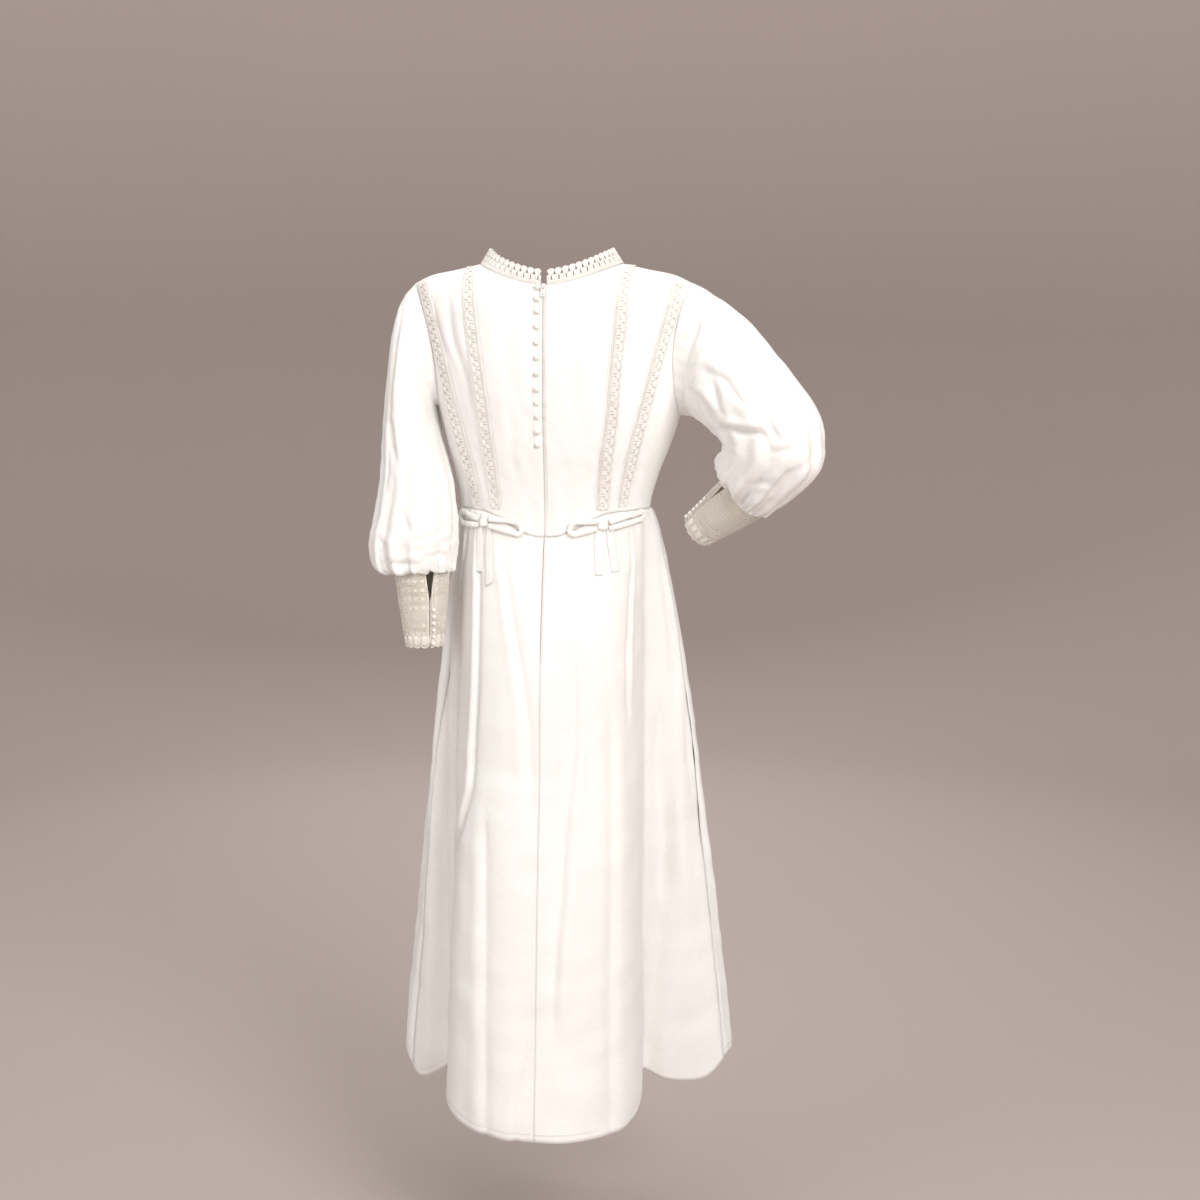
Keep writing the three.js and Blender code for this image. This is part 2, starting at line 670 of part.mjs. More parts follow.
// A bishop sleeve from the armhole edge down to its gathers on the cuff
function sleeve(name, table, half) {
  const { side, rings } = table;
  const loop = armholeLoop(half);
  const count = loop.length * 2;
  const first = { outer: [], inner: [] };
  loop.forEach(({ point, normal }, i) => {
    const next = loop[(i + 1) % loop.length];
    const under = point.clone().addScaledVector(normal, -CLOTH);
    const nextUnder = next.point.clone().addScaledVector(next.normal, -CLOTH);
    first.outer.push(point, point.clone().lerp(next.point, 0.5));
    first.inner.push(under, under.clone().lerp(nextUnder, 0.5));
  });
  const outer = [first.outer];
  for (let r = 0; r < rings.length; r += 1) {
    const ring = rings[r];
    const inside = armPoint(side, ring.inOut, ring.y, ring.inZ, ring.turn);
    const outside = armPoint(side, ring.outOut, ring.y, ring.outZ, ring.turn);
    const centre = inside.clone().lerp(outside, 0.5);
    const radius = inside.clone().sub(centre);
    const across = armAcross(side, ring.turn);
    const row = [];
    for (let k = 0; k < count; k += 1) {
      const angle = 2 * Math.PI * k / count;
      const gather = 1 + GATHER_DEPTHS[r + 1] * Math.cos(GATHERS * angle) / ring.half;
      const point = centre.clone().addScaledVector(radius, Math.cos(angle) * gather);
      point.addScaledVector(across, ring.half * Math.sin(angle) * gather);
      row.push(keepOffBody(side, point, BODY_CLEARANCE));
    }
    outer.push(row);
  }
  const inner = outer.map((row, i) => row.map((point, k) => {
    if (i === 0) return first.inner[k];
    const down = outer[Math.min(i + 1, outer.length - 1)][k].clone().sub(outer[i - 1][k]);
    const round = row[(k + 1) % count].clone().sub(row[(k + count - 1) % count]);
    const normal = round.cross(down).normalize();
    const middle = row.reduce((sum, p) => sum.add(p), new THREE.Vector3()).divideScalar(count);
    if (normal.dot(point.clone().sub(middle)) < 0) normal.negate();
    return point.clone().addScaledVector(normal, -CLOTH);
  }));
  const frame = cuffFrame(table);
  const seamCentre = frame.top.clone().addScaledVector(frame.axis, -SEAM);
  const ellipse = (angle, margin) => {
    const point = seamCentre.clone();
    point.addScaledVector(frame.across, -Math.cos(angle) * (CUFF.topAcross + margin));
    return point.addScaledVector(frame.deep, Math.sin(angle) * (CUFF.topDeep + margin));
  };
  const lastOuter = [];
  const lastInner = [];
  for (let k = 0; k < count; k += 1) {
    const angle = 2 * Math.PI * k / count;
    lastOuter.push(ellipse(angle, SEAM));
    lastInner.push(ellipse(angle, SEAM - CLOTH));
  }
  outer.push(lastOuter);
  inner.push(lastInner);
  add(name, wall(outer, inner, true), WOVEN);
}

sleeve('sleeve_left', SLEEVE_LEFT, halves.left);
sleeve('sleeve_right', SLEEVE_RIGHT, halves.right);

// The surface of a cuff at an angle from its inner side toward the back, and a share of its length
function cuffPoint(table, frame, angle, share, rise) {
  const across = mix(CUFF.topAcross, CUFF.wristAcross, share) + rise;
  const deep = mix(CUFF.topDeep, CUFF.wristDeep, share) + rise;
  const point = frame.top.clone().lerp(frame.wrist, share);
  point.addScaledVector(frame.across, -Math.cos(angle) * across);
  return point.addScaledVector(frame.deep, Math.sin(angle) * deep);
}

function slitWidth(share) {
  return mix(SLIT.wide, SLIT.narrow, Math.min(share / SLIT.closedAt, 1));
}

// Raised rosettes of the crochet: a core and a ring, repeated round the cuff
function rosetteRise(angle, share, length) {
  let rise = 0;
  for (const turn of [-ROSETTE.apart, 0, ROSETTE.apart]) {
    const away = angle - radians(ROSETTE.angle + turn);
    const radius = mix(CUFF.topAcross, CUFF.wristAcross, share);
    const distance = Math.hypot(away * radius, (share - ROSETTE.at) * length);
    const onRing = Math.exp(-(((distance - ROSETTE.ring) / ROSETTE.soft) ** 2));
    const onCore = Math.exp(-((distance / ROSETTE.core) ** 2));
    rise += ROSETTE.height * (onRing + onCore);
  }
  return rise;
}

function cuff(name, table) {
  const frame = cuffFrame(table);
  const length = frame.top.distanceTo(frame.wrist);
  const outer = [];
  const inner = [];
  for (let i = 0; i <= CUFF_ROWS; i += 1) {
    const outerRow = [];
    const innerRow = [];
    for (let k = 0; k <= CUFF_COLUMNS; k += 1) {
      const wave = CUFF_SCALLOP_DEPTH * (k % 2) / length;
      const share = i / CUFF_ROWS - (i === CUFF_ROWS ? wave : 0);
      const radius = mix(CUFF.topAcross, CUFF.wristAcross, share);
      const opening = slitWidth(share) / radius / 2;
      const start = radians(SLIT.angle) + opening;
      const angle = mix(start, start + 2 * (Math.PI - opening), k / CUFF_COLUMNS);
      const rise = i === 0 || i === CUFF_ROWS ? 0 : rosetteRise(angle, share, length);
      outerRow.push(cuffPoint(table, frame, angle, share, rise));
      innerRow.push(cuffPoint(table, frame, angle, share, -CROCHET));
    }
    outer.push(outerRow);
    inner.push(innerRow);
  }
  add(name, wall(outer, inner), LACE);
  return frame;
}

// A ball button that sits on a surface point, flattened along its normal
function button(name, seat, normal, radius) {
  const mesh = add(name, new THREE.SphereGeometry(1, BUTTON.sides, BUTTON.bands), BALL);
  const stand = radius * BUTTON.flat + LIFT;
  mesh.scale.set(radius, radius * BUTTON.flat, radius);
  mesh.quaternion.setFromUnitVectors(new THREE.Vector3(0, 1, 0), normal);
  mesh.position.copy(seat).addScaledVector(normal, stand);
}

for (const [hand, table] of [['left', SLEEVE_LEFT], ['right', SLEEVE_RIGHT]]) {
  const frame = cuff(`cuff_${hand}`, table);
  for (let n = 0; n < CUFF_BUTTONS.count; n += 1) {
    const share = mix(CUFF_BUTTONS.from, CUFF_BUTTONS.to, n / (CUFF_BUTTONS.count - 1));
    const radius = mix(CUFF.topAcross, CUFF.wristAcross, share);
    const angle = radians(SLIT.angle) - (slitWidth(share) / 2 + CUFF_BUTTONS.beside) / radius;
    const seat = cuffPoint(table, frame, angle, share, 0);
    const centre = frame.top.clone().lerp(frame.wrist, share);
    const normal = seat.clone().sub(centre).normalize();
    button(`cuff_button_${hand}_${n + 1}`, seat, normal, CUFF_BUTTONS.radius);
  }
}

// Collar band on the neck edge, from the left of the centre back round the front to the right
function neckLoop() {
  const { left, right } = halves;
  const take = (half, face, j) => {
    const panel = half[face];
    return { point: panel.outer[ROWS][j], normal: panel.normals[ROWS][j] };
  };
  const loop = [];
  for (let j = 0; j <= NECK_COLUMN; j += 1) loop.push(take(left, 'back', j));
  for (let j = NECK_COLUMN; j >= 0; j -= 1) loop.push(take(left, 'front', j));
  for (let j = 1; j <= NECK_COLUMN; j += 1) loop.push(take(right, 'front', j));
  for (let j = NECK_COLUMN; j >= 0; j -= 1) loop.push(take(right, 'back', j));
  return loop;
}

function collar() {
  const loop = neckLoop();
  const foot = [];
  for (let i = 0; i < loop.length - 1; i += 1) {
    const gap = loop[i].point.distanceTo(loop[i + 1].point);
    const steps = gap < 1 ? 1 : COLLAR.steps;
    for (let s = 0; s < steps; s += 1) {
      const f = s / steps;
      const normal = loop[i].normal.clone().lerp(loop[i + 1].normal, f).normalize();
      foot.push({ point: loop[i].point.clone().lerp(loop[i + 1].point, f), normal });
    }
  }
  foot.push(loop[loop.length - 1]);
  const kept = foot.filter(({ point }) => point.y < 0 || Math.abs(point.x) > COLLAR.notch);
  const outer = [[], []];
  const inner = [[], []];
  kept.forEach(({ point, normal }, i) => {
    const side = Math.abs(point.x) / NECK_HALF;
    const leanEnd = point.y > 0 ? COLLAR.leanBack : COLLAR.leanFront;
    const lean = mix(leanEnd, COLLAR.leanSide, side ** 2);
    const inward = new THREE.Vector3(-point.x, -point.y, 0).normalize();
    const height = COLLAR.height - COLLAR.scallop * (i % 2);
    const base = point.clone().add(new THREE.Vector3(0, 0, SEAM)).addScaledVector(normal, SEAM / 2);
    const top = base.clone().addScaledVector(inward, lean).add(new THREE.Vector3(0, 0, height));
    outer[0].push(base);
    outer[1].push(top);
    const thick = inward.clone().multiplyScalar(CROCHET);
    inner[0].push(base.clone().add(thick));
    inner[1].push(top.clone().add(thick));
  });
  add('collar', wall(outer, inner), LACE);
}
collar();

// A point on a back panel of the bodice, found by height and distance from the centre back
function onBodice(half, x, z, lift) {
  const { outer, normals } = half.back;
  let share = 0;
  let row = 0;
  let column = 0;
  const at = (i, j, u, v) => {
    const lower = outer[i][j].clone().lerp(outer[i][j + 1], u);
    return lower.lerp(outer[i + 1][j].clone().lerp(outer[i + 1][j + 1], u), v);
  };
  const locate = (position) => {
    row = Math.min(Math.floor(position), ROWS - 1);
    share = position - row;
    const line = outer[row].map((p, j) => mix(Math.abs(p.x), Math.abs(outer[row + 1][j].x), share));
    const target = Math.min(x, line[0] + (line[COLUMNS] - line[0]) * EDGE_MARGIN);
    column = 0;
    while (column < COLUMNS - 1 && line[column + 1] < target) column += 1;
    const u = Math.min(Math.max((target - line[column]) / (line[column + 1] - line[column]), 0), 1);
    return { u, point: at(row, column, u, share) };
  };
  let low = 0;
  let high = ROWS;
  for (let step = 0; step < SEARCH_STEPS; step += 1) {
    const middle = (low + high) / 2;
    if (locate(middle).point.z < z) low = middle;
    else high = middle;
  }
  const { u, point } = locate(Math.min((low + high) / 2, ROWS - TOP_MARGIN));
  const lower = normals[row][column].clone().lerp(normals[row][column + 1], u);
  const upper = normals[row + 1][column].clone().lerp(normals[row + 1][column + 1], u);
  const normal = lower.lerp(upper, share).normalize();
  return { point: point.addScaledVector(normal, lift), normal };
}

// Crochet strips, laid on the panels' own points
function strip(name, { side, scallops, rows }) {
  const half = halves[handOf(side)];
  const freeAt = along(rows, 'z', 'free');
  const sewnAt = along(rows, 'z', 'sewn');
  const bottom = rows[0].z;
  const top = rows[rows.length - 1].z;
  const heights = [bottom];
  const lengths = [0];
  let before = onBodice(half, (freeAt(bottom) + sewnAt(bottom)) / 2, bottom, 0).point;
  for (let i = 1; i <= STRIP_SAMPLES; i += 1) {
    const z = mix(bottom, top, i / STRIP_SAMPLES);
    const { point } = onBodice(half, (freeAt(z) + sewnAt(z)) / 2, z, 0);
    heights.push(z);
    lengths.push(lengths[i - 1] + point.distanceTo(before));
    before = point;
  }
  const outer = [];
  const inner = [];
  const steps = scallops * 2;
  for (let i = 0; i <= steps; i += 1) {
    const target = lengths[STRIP_SAMPLES] * i / steps;
    const at = Math.max(lengths.findIndex((length) => length >= target), 1);
    const f = (target - lengths[at - 1]) / (lengths[at] - lengths[at - 1]);
    const z = mix(heights[at - 1], heights[at], f);
    const free = freeAt(z) - STRIP_SCALLOP * (i % 2);
    const sewn = sewnAt(z);
    const xs = [free, (free + sewn) / 2, sewn];
    const seats = xs.map((x) => onBodice(half, x, z, STRIP_LIFT));
    inner.push(seats.map(({ point }) => point));
    outer.push(seats.map(({ point, normal }) => point.clone().addScaledVector(normal, CROCHET)));
  }
  add(name, wall(outer, inner), LACE);
}
for (const [name, table] of Object.entries(STRIPS)) strip(name, table);

// The outermost cloth behind a point, looked for straight along Y on the back panels
const backFaces = [];
for (const panel of [halves.left.back, halves.right.back, skirts.left, skirts.right]) {
  const grid = panel.outer;
  for (let i = 0; i < grid.length - 1; i += 1) {
    for (let j = 0; j < grid[0].length - 1; j += 1) {
      backFaces.push([grid[i][j], grid[i][j + 1], grid[i + 1][j + 1]]);
      backFaces.push([grid[i][j], grid[i + 1][j + 1], grid[i + 1][j]]);
    }
  }
}

function faceAt(x, z) {
  let found = 0;
  for (const [a, b, c] of backFaces) {
    const area = (b.x - a.x) * (c.z - a.z) - (c.x - a.x) * (b.z - a.z);
    const u = ((x - a.x) * (c.z - a.z) - (c.x - a.x) * (z - a.z)) / area;
    const v = ((b.x - a.x) * (z - a.z) - (x - a.x) * (b.z - a.z)) / area;
    if (u >= 0 && v >= 0 && u + v <= 1) found = Math.max(found, a.y + u * (b.y - a.y) + v * (c.y - a.y));
  }
  return found;
}

// The same, looked for just above and below too, so that a seam gap is bridged
function clothAt(x, z) {
  return Math.max(faceAt(x, z), faceAt(x, z + SEAM), faceAt(x, z - SEAM));
}

// The seat on the cloth at a place on the back, with the direction out of the cloth there
function clothSeat(x, z, lift) {
  const reach = TIE.feel;
  const [left, right] = [clothAt(x - reach, z), clothAt(x + reach, z)];
  const [below, above] = [clothAt(x, z - reach), clothAt(x, z + reach)];
  const level = Math.max(clothAt(x, z), (left + right) / 2, (below + above) / 2);
  const normal = new THREE.Vector3(left - right, 2 * reach, below - above).normalize();
  const point = new THREE.Vector3(x, level, z).addScaledVector(normal, lift);
  return { point, normal };
}

// Ball buttons down the left of the centre back
BUTTON_HEIGHTS.forEach((z, n) => {
  const { point, normal } = onBodice(halves.left, BUTTON.x, z, 0);
  button(`back_button_${n + 1}`, point, normal, BUTTON.radius);
});

// Zip chain under the seam, along the inner edge of the back panels
function zipChain() {
  const rowsDown = halves.left.back.inner.map((row) => row[0]).reverse();
  const below = skirts.left.inner.slice(1).map((row) => row[0]);
  const line = [...rowsDown, ...below];
  const kept = line.filter((point) => point.z <= ZIP.top && point.z >= ZIP.bottom);
  const after = line.find((point) => point.z < ZIP.bottom);
  const lastKept = kept[kept.length - 1];
  const end = lastKept.clone().lerp(after, (lastKept.z - ZIP.bottom) / (lastKept.z - after.z));
  const path = [...kept, end];
  const outer = [];
  const inner = [];
  path.forEach((point) => {
    const y = point.y - LIFT;
    outer.push([-1, 1].map((s) => new THREE.Vector3(s * ZIP.width / 2, y, point.z)));
    inner.push([-1, 1].map((s) => new THREE.Vector3(s * ZIP.width / 2, y - ZIP.thick, point.z)));
  });
  add('zip_chain', wall(outer, inner), NYLON);
}
zipChain();

// A solid for joining and cutting, and its way back to a mesh geometry
function solid(geometry) {
  const bare = geometry.clone();
  bare.deleteAttribute('normal');
  bare.deleteAttribute('uv');
  const merged = mergeVertices(bare);
  const vertProperties = new Float32Array(merged.attributes.position.array);
  const triVerts = new Uint32Array(merged.index.array);
  return new wasm.Manifold(new wasm.Mesh({ numProp: 3, vertProperties, triVerts }));
}

function geometryOf(body) {
  const mesh = body.getMesh();
  const geometry = new THREE.BufferGeometry();
  geometry.setAttribute('position', new THREE.Float32BufferAttribute(mesh.vertProperties, 3));
  geometry.setIndex([...mesh.triVerts]);
  geometry.computeVertexNormals();
  return geometry;
}

// Zip slider with the bridge that the pull tab turns on, Y out of the cloth
function sliderGeometry() {
  const { width, length, thick, bridgeWidth, bridgeHigh, bridgeLong } = SLIDER;
  const body = new THREE.BoxGeometry(width, thick, length);
  body.translate(0, thick / 2, 0);
  const profile = new THREE.Shape();
  profile.moveTo(-bridgeLong / 2, -thick / 2);
  profile.lineTo(bridgeLong / 2, -thick / 2);
  profile.lineTo(bridgeLong / 2, bridgeHigh);
  profile.lineTo(-bridgeLong / 2, bridgeHigh);
  const eye = new THREE.Path();
  const inLong = bridgeLong / 2 - BRIDGE_WALL;
  eye.moveTo(-inLong, 0);
  eye.lineTo(inLong, 0);
  eye.lineTo(inLong, bridgeHigh - BRIDGE_WALL);
  eye.lineTo(-inLong, bridgeHigh - BRIDGE_WALL);
  profile.holes.push(eye);
  const bridge = new THREE.ExtrudeGeometry(profile, { depth: bridgeWidth, bevelEnabled: false });
  bridge.rotateY(-Math.PI / 2);
  bridge.translate(bridgeWidth / 2, thick, 0);
  return geometryOf(solid(body).add(solid(bridge)));
}

// Pull tab: a plate hung on a bar through the bridge, with a round hole near its end
function pullGeometry() {
  const { width, length, thick, bar, window, windowEnd, holeUp } = PULL;
  const plate = new THREE.Shape();
  plate.moveTo(-width / 2, bar);
  plate.lineTo(-width / 2, -length);
  plate.lineTo(width / 2, -length);
  plate.lineTo(width / 2, bar);
  const opening = new THREE.Path();
  opening.moveTo(-window / 2, -bar);
  opening.lineTo(window / 2, -bar);
  opening.lineTo(window / 2, -windowEnd);
  opening.lineTo(-window / 2, -windowEnd);
  plate.holes.push(opening);
  const hole = new THREE.Path();
  hole.absarc(0, holeUp - length, PULL.hole, 0, 2 * Math.PI);
  plate.holes.push(hole);
  const settings = { depth: thick, bevelEnabled: false, curveSegments: 6 };
  const tab = new THREE.ExtrudeGeometry(plate, settings);
  tab.translate(0, 0, -thick / 2);
  tab.rotateX(Math.PI / 2);
  return tab;
}

function zipPieces() {
  const reach = SLIDER.length;
  const slope = Math.atan2(clothAt(1, SLIDER.z - reach) - clothAt(1, SLIDER.z), reach);
  const normal = new THREE.Vector3(0, Math.cos(slope), Math.sin(slope));
  const up = new THREE.Vector3(0, -Math.sin(slope), Math.cos(slope));
  const seat = new THREE.Vector3(0, clothAt(1, SLIDER.z), SLIDER.z).addScaledVector(normal, 2 * LIFT);
  const slider = add('zip_slider', sliderGeometry(), NYLON);
  slider.rotation.x = slope;
  slider.position.copy(seat);
  const pull = add('zip_pull', pullGeometry(), NYLON);
  pull.rotation.x = slope;
  pull.position.copy(seat).addScaledVector(up, -PULL.below);
  pull.position.addScaledVector(normal, SLIDER.thick + (SLIDER.bridgeHigh - BRIDGE_WALL) / 2);
}
zipPieces();

// A closed rod through rings of points, capped at both ends
function rod(rings) {
  const count = rings[0].length;
  const positions = rings.flat().flatMap((p) => [p.x, p.y, p.z]);
  const faces = [];
  for (let i = 0; i < rings.length - 1; i += 1) {
    for (let k = 0; k < count; k += 1) {
      const a = i * count + k;
      const b = i * count + (k + 1) % count;
      faces.push(a, b, b + count, a, b + count, a + count);
    }
  }
  const last = (rings.length - 1) * count;
  for (let k = 1; k < count - 1; k += 1) {
    faces.push(0, k + 1, k);
    faces.push(last, last + k, last + k + 1);
  }
  return outward(positions, faces);
}

// A tie laid along a path on the back, with an even six-sided or four-sided section
function tie(name, path, halfWide, halfThick, layer, sides, cut) {
  const seats = path.map(([x, z]) => clothSeat(x, z, layer + halfThick));
  const rings = seats.map(({ point, normal }, i) => {
    const before = seats[Math.max(i - 1, 0)].point;
    const after = seats[Math.min(i + 1, seats.length - 1)].point;
    const run = after.clone().sub(before).normalize();
    const across = run.clone().cross(normal).normalize();
    const slant = i === path.length - 1 ? cut : 0;
    const ring = [];
    for (let k = 0; k < sides; k += 1) {
      const angle = 2 * Math.PI * (k + 0.5) / sides;
      const wide = halfWide * Math.cos(angle) / Math.cos(Math.PI / sides);
      const high = halfThick * Math.sin(angle) / (sides === 4 ? Math.cos(Math.PI / sides) : 1);
      const corner = point.clone().addScaledVector(across, wide).addScaledVector(normal, high);
      ring.push(corner.addScaledVector(run, slant * wide));
    }
    return ring;
  });
  add(name, rod(rings), WOVEN);
}

// A loop's path from the knot along its upper limb, round its end and back below
function loopPath(knot, { toward, reach, drop, radius }) {
  const root = knot.x + toward * (KNOT.wide / 2 + TIE.gap);
  const straight = reach - radius;
  const place = (out, across) => [root + toward * out, knot.z - drop * out / reach + across];
  const path = [];
  for (let i = 0; i < TIE.limbSteps; i += 1) {
    const f = i / TIE.limbSteps;
    path.push(place(straight * f, mix(TIE.root, radius, f)));
  }
  for (let i = 0; i <= TIE.turnSteps; i += 1) {
    const angle = Math.PI * (0.5 - i / TIE.turnSteps);
    path.push(place(straight + radius * Math.cos(angle), radius * Math.sin(angle)));
  }
  for (let i = TIE.limbSteps - 1; i >= 0; i -= 1) {
    const f = i / TIE.limbSteps;
    path.push(place(straight * f, -mix(TIE.root, radius, f)));
  }
  return path;
}

function tailPath(knot, { slant, length, shift }) {
  const path = [];
  for (let i = 0; i <= TIE.tailSteps; i += 1) {
    const f = i / TIE.tailSteps;
    path.push([knot.x + shift + slant * f, knot.z - length * f]);
  }
  return path;
}

function knotGeometry() {
  const { wide, tall, thick, round } = KNOT;
  const face = new THREE.Shape();
  const corners = [[1, 1], [-1, 1], [-1, -1], [1, -1]];
  corners.forEach(([sx, sz], i) => {
    const centreX = sx * (wide / 2 - round);
    const centreZ = sz * (tall / 2 - round);
    face.absarc(centreX, centreZ, round, i * Math.PI / 2, (i + 1) * Math.PI / 2, false);
  });
  const geometry = new THREE.ExtrudeGeometry(face, { depth: thick, bevelEnabled: false, curveSegments: 3 });
  geometry.rotateX(Math.PI / 2);
  geometry.translate(0, thick, 0);
  return geometry;
}

for (const [hand, { knot, loops, tails }] of Object.entries(BOWS)) {
  const centre = add(`tie_knot_${hand}`, knotGeometry(), WOVEN);
  const seat = clothSeat(knot.x, knot.z, TIE.layer);
  centre.position.copy(seat.point);
  centre.quaternion.setFromUnitVectors(new THREE.Vector3(0, 1, 0), seat.normal);
  for (const [place, loop] of Object.entries(loops)) {
    const path = loopPath(knot, loop);
    tie(`tie_loop_${hand}_${place}`, path, TIE.halfWide, TIE.halfThick, TIE.layer, 6, 0);
  }
  for (const [place, tail] of Object.entries(tails)) {
    const path = tailPath(knot, tail);
    tie(`tie_tail_${hand}_${place}`, path, TIE.tailWide / 2, TIE.tailThick / 2, TIE.lift, 4, tail.cut);
  }
}

export default dress;
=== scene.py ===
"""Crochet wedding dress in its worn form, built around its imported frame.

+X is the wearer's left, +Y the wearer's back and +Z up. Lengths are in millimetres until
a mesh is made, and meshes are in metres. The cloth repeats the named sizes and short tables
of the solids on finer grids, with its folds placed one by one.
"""
import math

import bpy
import numpy as np
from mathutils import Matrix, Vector


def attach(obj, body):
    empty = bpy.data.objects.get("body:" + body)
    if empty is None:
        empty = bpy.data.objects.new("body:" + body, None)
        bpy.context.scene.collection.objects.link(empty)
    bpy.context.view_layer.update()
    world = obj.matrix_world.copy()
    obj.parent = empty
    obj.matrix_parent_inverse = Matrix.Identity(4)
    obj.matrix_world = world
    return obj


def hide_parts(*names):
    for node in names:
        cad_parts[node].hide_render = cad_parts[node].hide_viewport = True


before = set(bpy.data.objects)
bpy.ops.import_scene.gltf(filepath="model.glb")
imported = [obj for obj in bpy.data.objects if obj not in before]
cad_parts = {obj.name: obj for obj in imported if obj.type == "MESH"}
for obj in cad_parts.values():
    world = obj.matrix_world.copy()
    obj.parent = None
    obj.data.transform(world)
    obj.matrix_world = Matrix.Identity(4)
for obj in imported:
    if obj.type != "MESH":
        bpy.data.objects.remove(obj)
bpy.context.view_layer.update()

MM = 0.001

# Camera at the height of the shoulders, behind the dress and a little to its right
CAMERA_PLACE = (-0.4056, 2.7373, -0.0568)
CAMERA_TARGET = (-0.0685, -0.0084, -0.49)
CAMERA_LENS = 56.76

# Thickness of the cloth and the gap left at a seam
CLOTH = 0.9
SEAM = 0.3

# Rows and columns of the cloth's grids
BODICE_BACK_GRID, BODICE_FRONT_GRID = (112, 66), (80, 48)
SKIRT_ROWS, SLEEVE_GRID, CUFF_GRID = 150, (110, 148), (40, 96)

# Torso: height, half width left and right, depth to the back and to the front
BODY = np.array([
    (-400, 146, 150, 88, 98), (-350, 135, 143, 81, 96), (-300, 143, 156, 85, 104),
    (-260, 153, 172, 92, 114), (-215, 163, 187, 97, 122), (-180, 171, 191, 99, 122),
    (-120, 183, 195, 99, 110), (-60, 194, 199, 91, 96), (-27, 200, 201, 83, 86),
    (20, 201, 203, 74, 76)], float)
BOXINESS = 2.3
SHOULDER = np.array([(0, 24), (50, 16), (104, 0), (138, -8), (176, -16), (200, -27)], float)
SHOULDER_TIP = 200
CROWN_DROP = 70
NECK_HALF = 104
NECK = {"back": (31, 1.6), "front": (78, 2.2)}
UNDERARM = {1: -206, -1: -216}
ARMHOLE_INSET = {"back": 16, "front": 22}
ARMHOLE_ROUNDNESS = 0.8
ARMHOLE_EASE = 4
WAIST_SIDE, WAIST_DROP, WAIST_NARROWING = -350, 36, 12
COLUMNS, NECK_COLUMN, ROWS_LOW, ROWS_ARM = 10, 5, 5, 10
ROWS = ROWS_LOW + ROWS_ARM

# Hem seen from above: degrees from the centre back toward the wearer's left, radius, height
HEM = np.array([
    (-180, 178, -1240), (-166, 190, -1238), (-152, 199, -1236), (-137, 194, -1238),
    (-122, 214, -1232), (-108, 250, -1216), (-98, 270, -1190), (-91, 264, -1184),
    (-86, 232, -1216), (-81, 180, -1216), (-75, 149, -1200), (-68, 153, -1198),
    (-61, 165, -1206), (-52, 183, -1218), (-42, 202, -1228), (-30, 214, -1236),
    (-14, 220, -1240), (0, 215, -1242), (14, 220, -1240), (30, 215, -1236),
    (42, 204, -1228), (53, 185, -1216), (63, 169, -1204), (71, 161, -1198),
    (77, 159, -1198), (83, 178, -1222), (88, 212, -1238), (93, 238, -1202),
    (100, 244, -1200), (112, 229, -1222), (126, 197, -1234), (140, 190, -1238),
    (154, 200, -1238), (168, 190, -1240), (180, 178, -1240)], float)
FALL_MEAN, FALL_LEAN = 0.78, 0.1
HIP_FULLNESS, HIP_REACH = 9, 0.4

# Where the centre-back seam closes under the zip, as shares of the skirt's length
SEAM_START, SEAM_RUN = 0.17, 0.06

# Sleeve rings: inner point out and up, outer point out and up, back, half depth, turn
SLEEVES = {
    1: np.array([
        (-32, -206, 21, -54, 3, 55, 0), (-34, -218, 31, -98, 14, 56, 0),
        (-42, -250, 36, -156, 32, 54, 0), (-56, -290, 39, -230, 48, 51, 0),
        (-66, -330, 40, -300, 62, 49, 0), (-69, -368, 48, -356, 68, 52, 0),
        (-68, -400, 54, -396, 72, 54, 0), (-64, -434, 46, -434, 74, 50, 0)], float),
    -1: np.array([
        (4, -217, 28, -40, 2, 56, 14), (22, -222, 82, -72, 2, 62, 32),
        (46, -230, 138, -112, 0, 64, 40), (70, -241, 188, -155, 0, 64, 41),
        (88, -252, 226, -200, 0, 64, 41), (88, -260, 240, -246, 0, 63, 41),
        (78, -266, 232, -288, 0, 60, 41), (74, -277, 178, -332, 0, 52, 41)], float),
}
CUFF_ENDS = {1: ((-19, 74, -437), (-22, 77, -549), 0), -1: ((120, 0, -318), (22, 0, -379), 41)}
CUFF_TOP, CUFF_WRIST = (40, 37), (27, 26)
GATHERS = 13
GATHER_DEPTHS = (0, 0, 0, 0.5, 1, 1.5, 2, 2.5, 3, 0)
SLIT_ANGLE, SLIT_WIDE, SLIT_NARROW, SLIT_CLOSED = 62, 13, 1.6, 0.4
CUFF_SCALLOPS = 16
CUFF_BUTTON = {"count": 6, "radius": 2.8, "from": 0.5, "to": 0.94, "beside": 4}

CUFF_GIRTH = 32
CUFF_MEAN_RADII = (38, 27)
ROUND_PITCH, ROUND_FIRST, ROUNDS = 6.4, 3.0, 15
ROUND_STITCHES, WRIST_STEPS = 92, 330
ROSETTE_REACH = 12.5
ROSETTES = {"left": ((2.72, 46), (1.72, 66), (0.42, 50), (3.95, 52), (5.2, 50)),
            "right": ((1.72, 52), (2.95, 44), (0.5, 50), (4.2, 52), (5.4, 50))}

# Rings of a rosette: radius, yarn, rise and sway
ROSETTE_RINGS = ((1.6, 1.1, 1.1, 0), (4.1, 0.95, 1.0, 0), (7.0, 0.8, 0.6, 0), (11.2, 0.85, 0.5, 0.5))
YARN_SIDES, YARN_FLATNESS = 4, 0.75

COLLAR = {"height": 22, "side": 14, "back": 6, "front": 9, "notch": 4.5, "shells": 60}

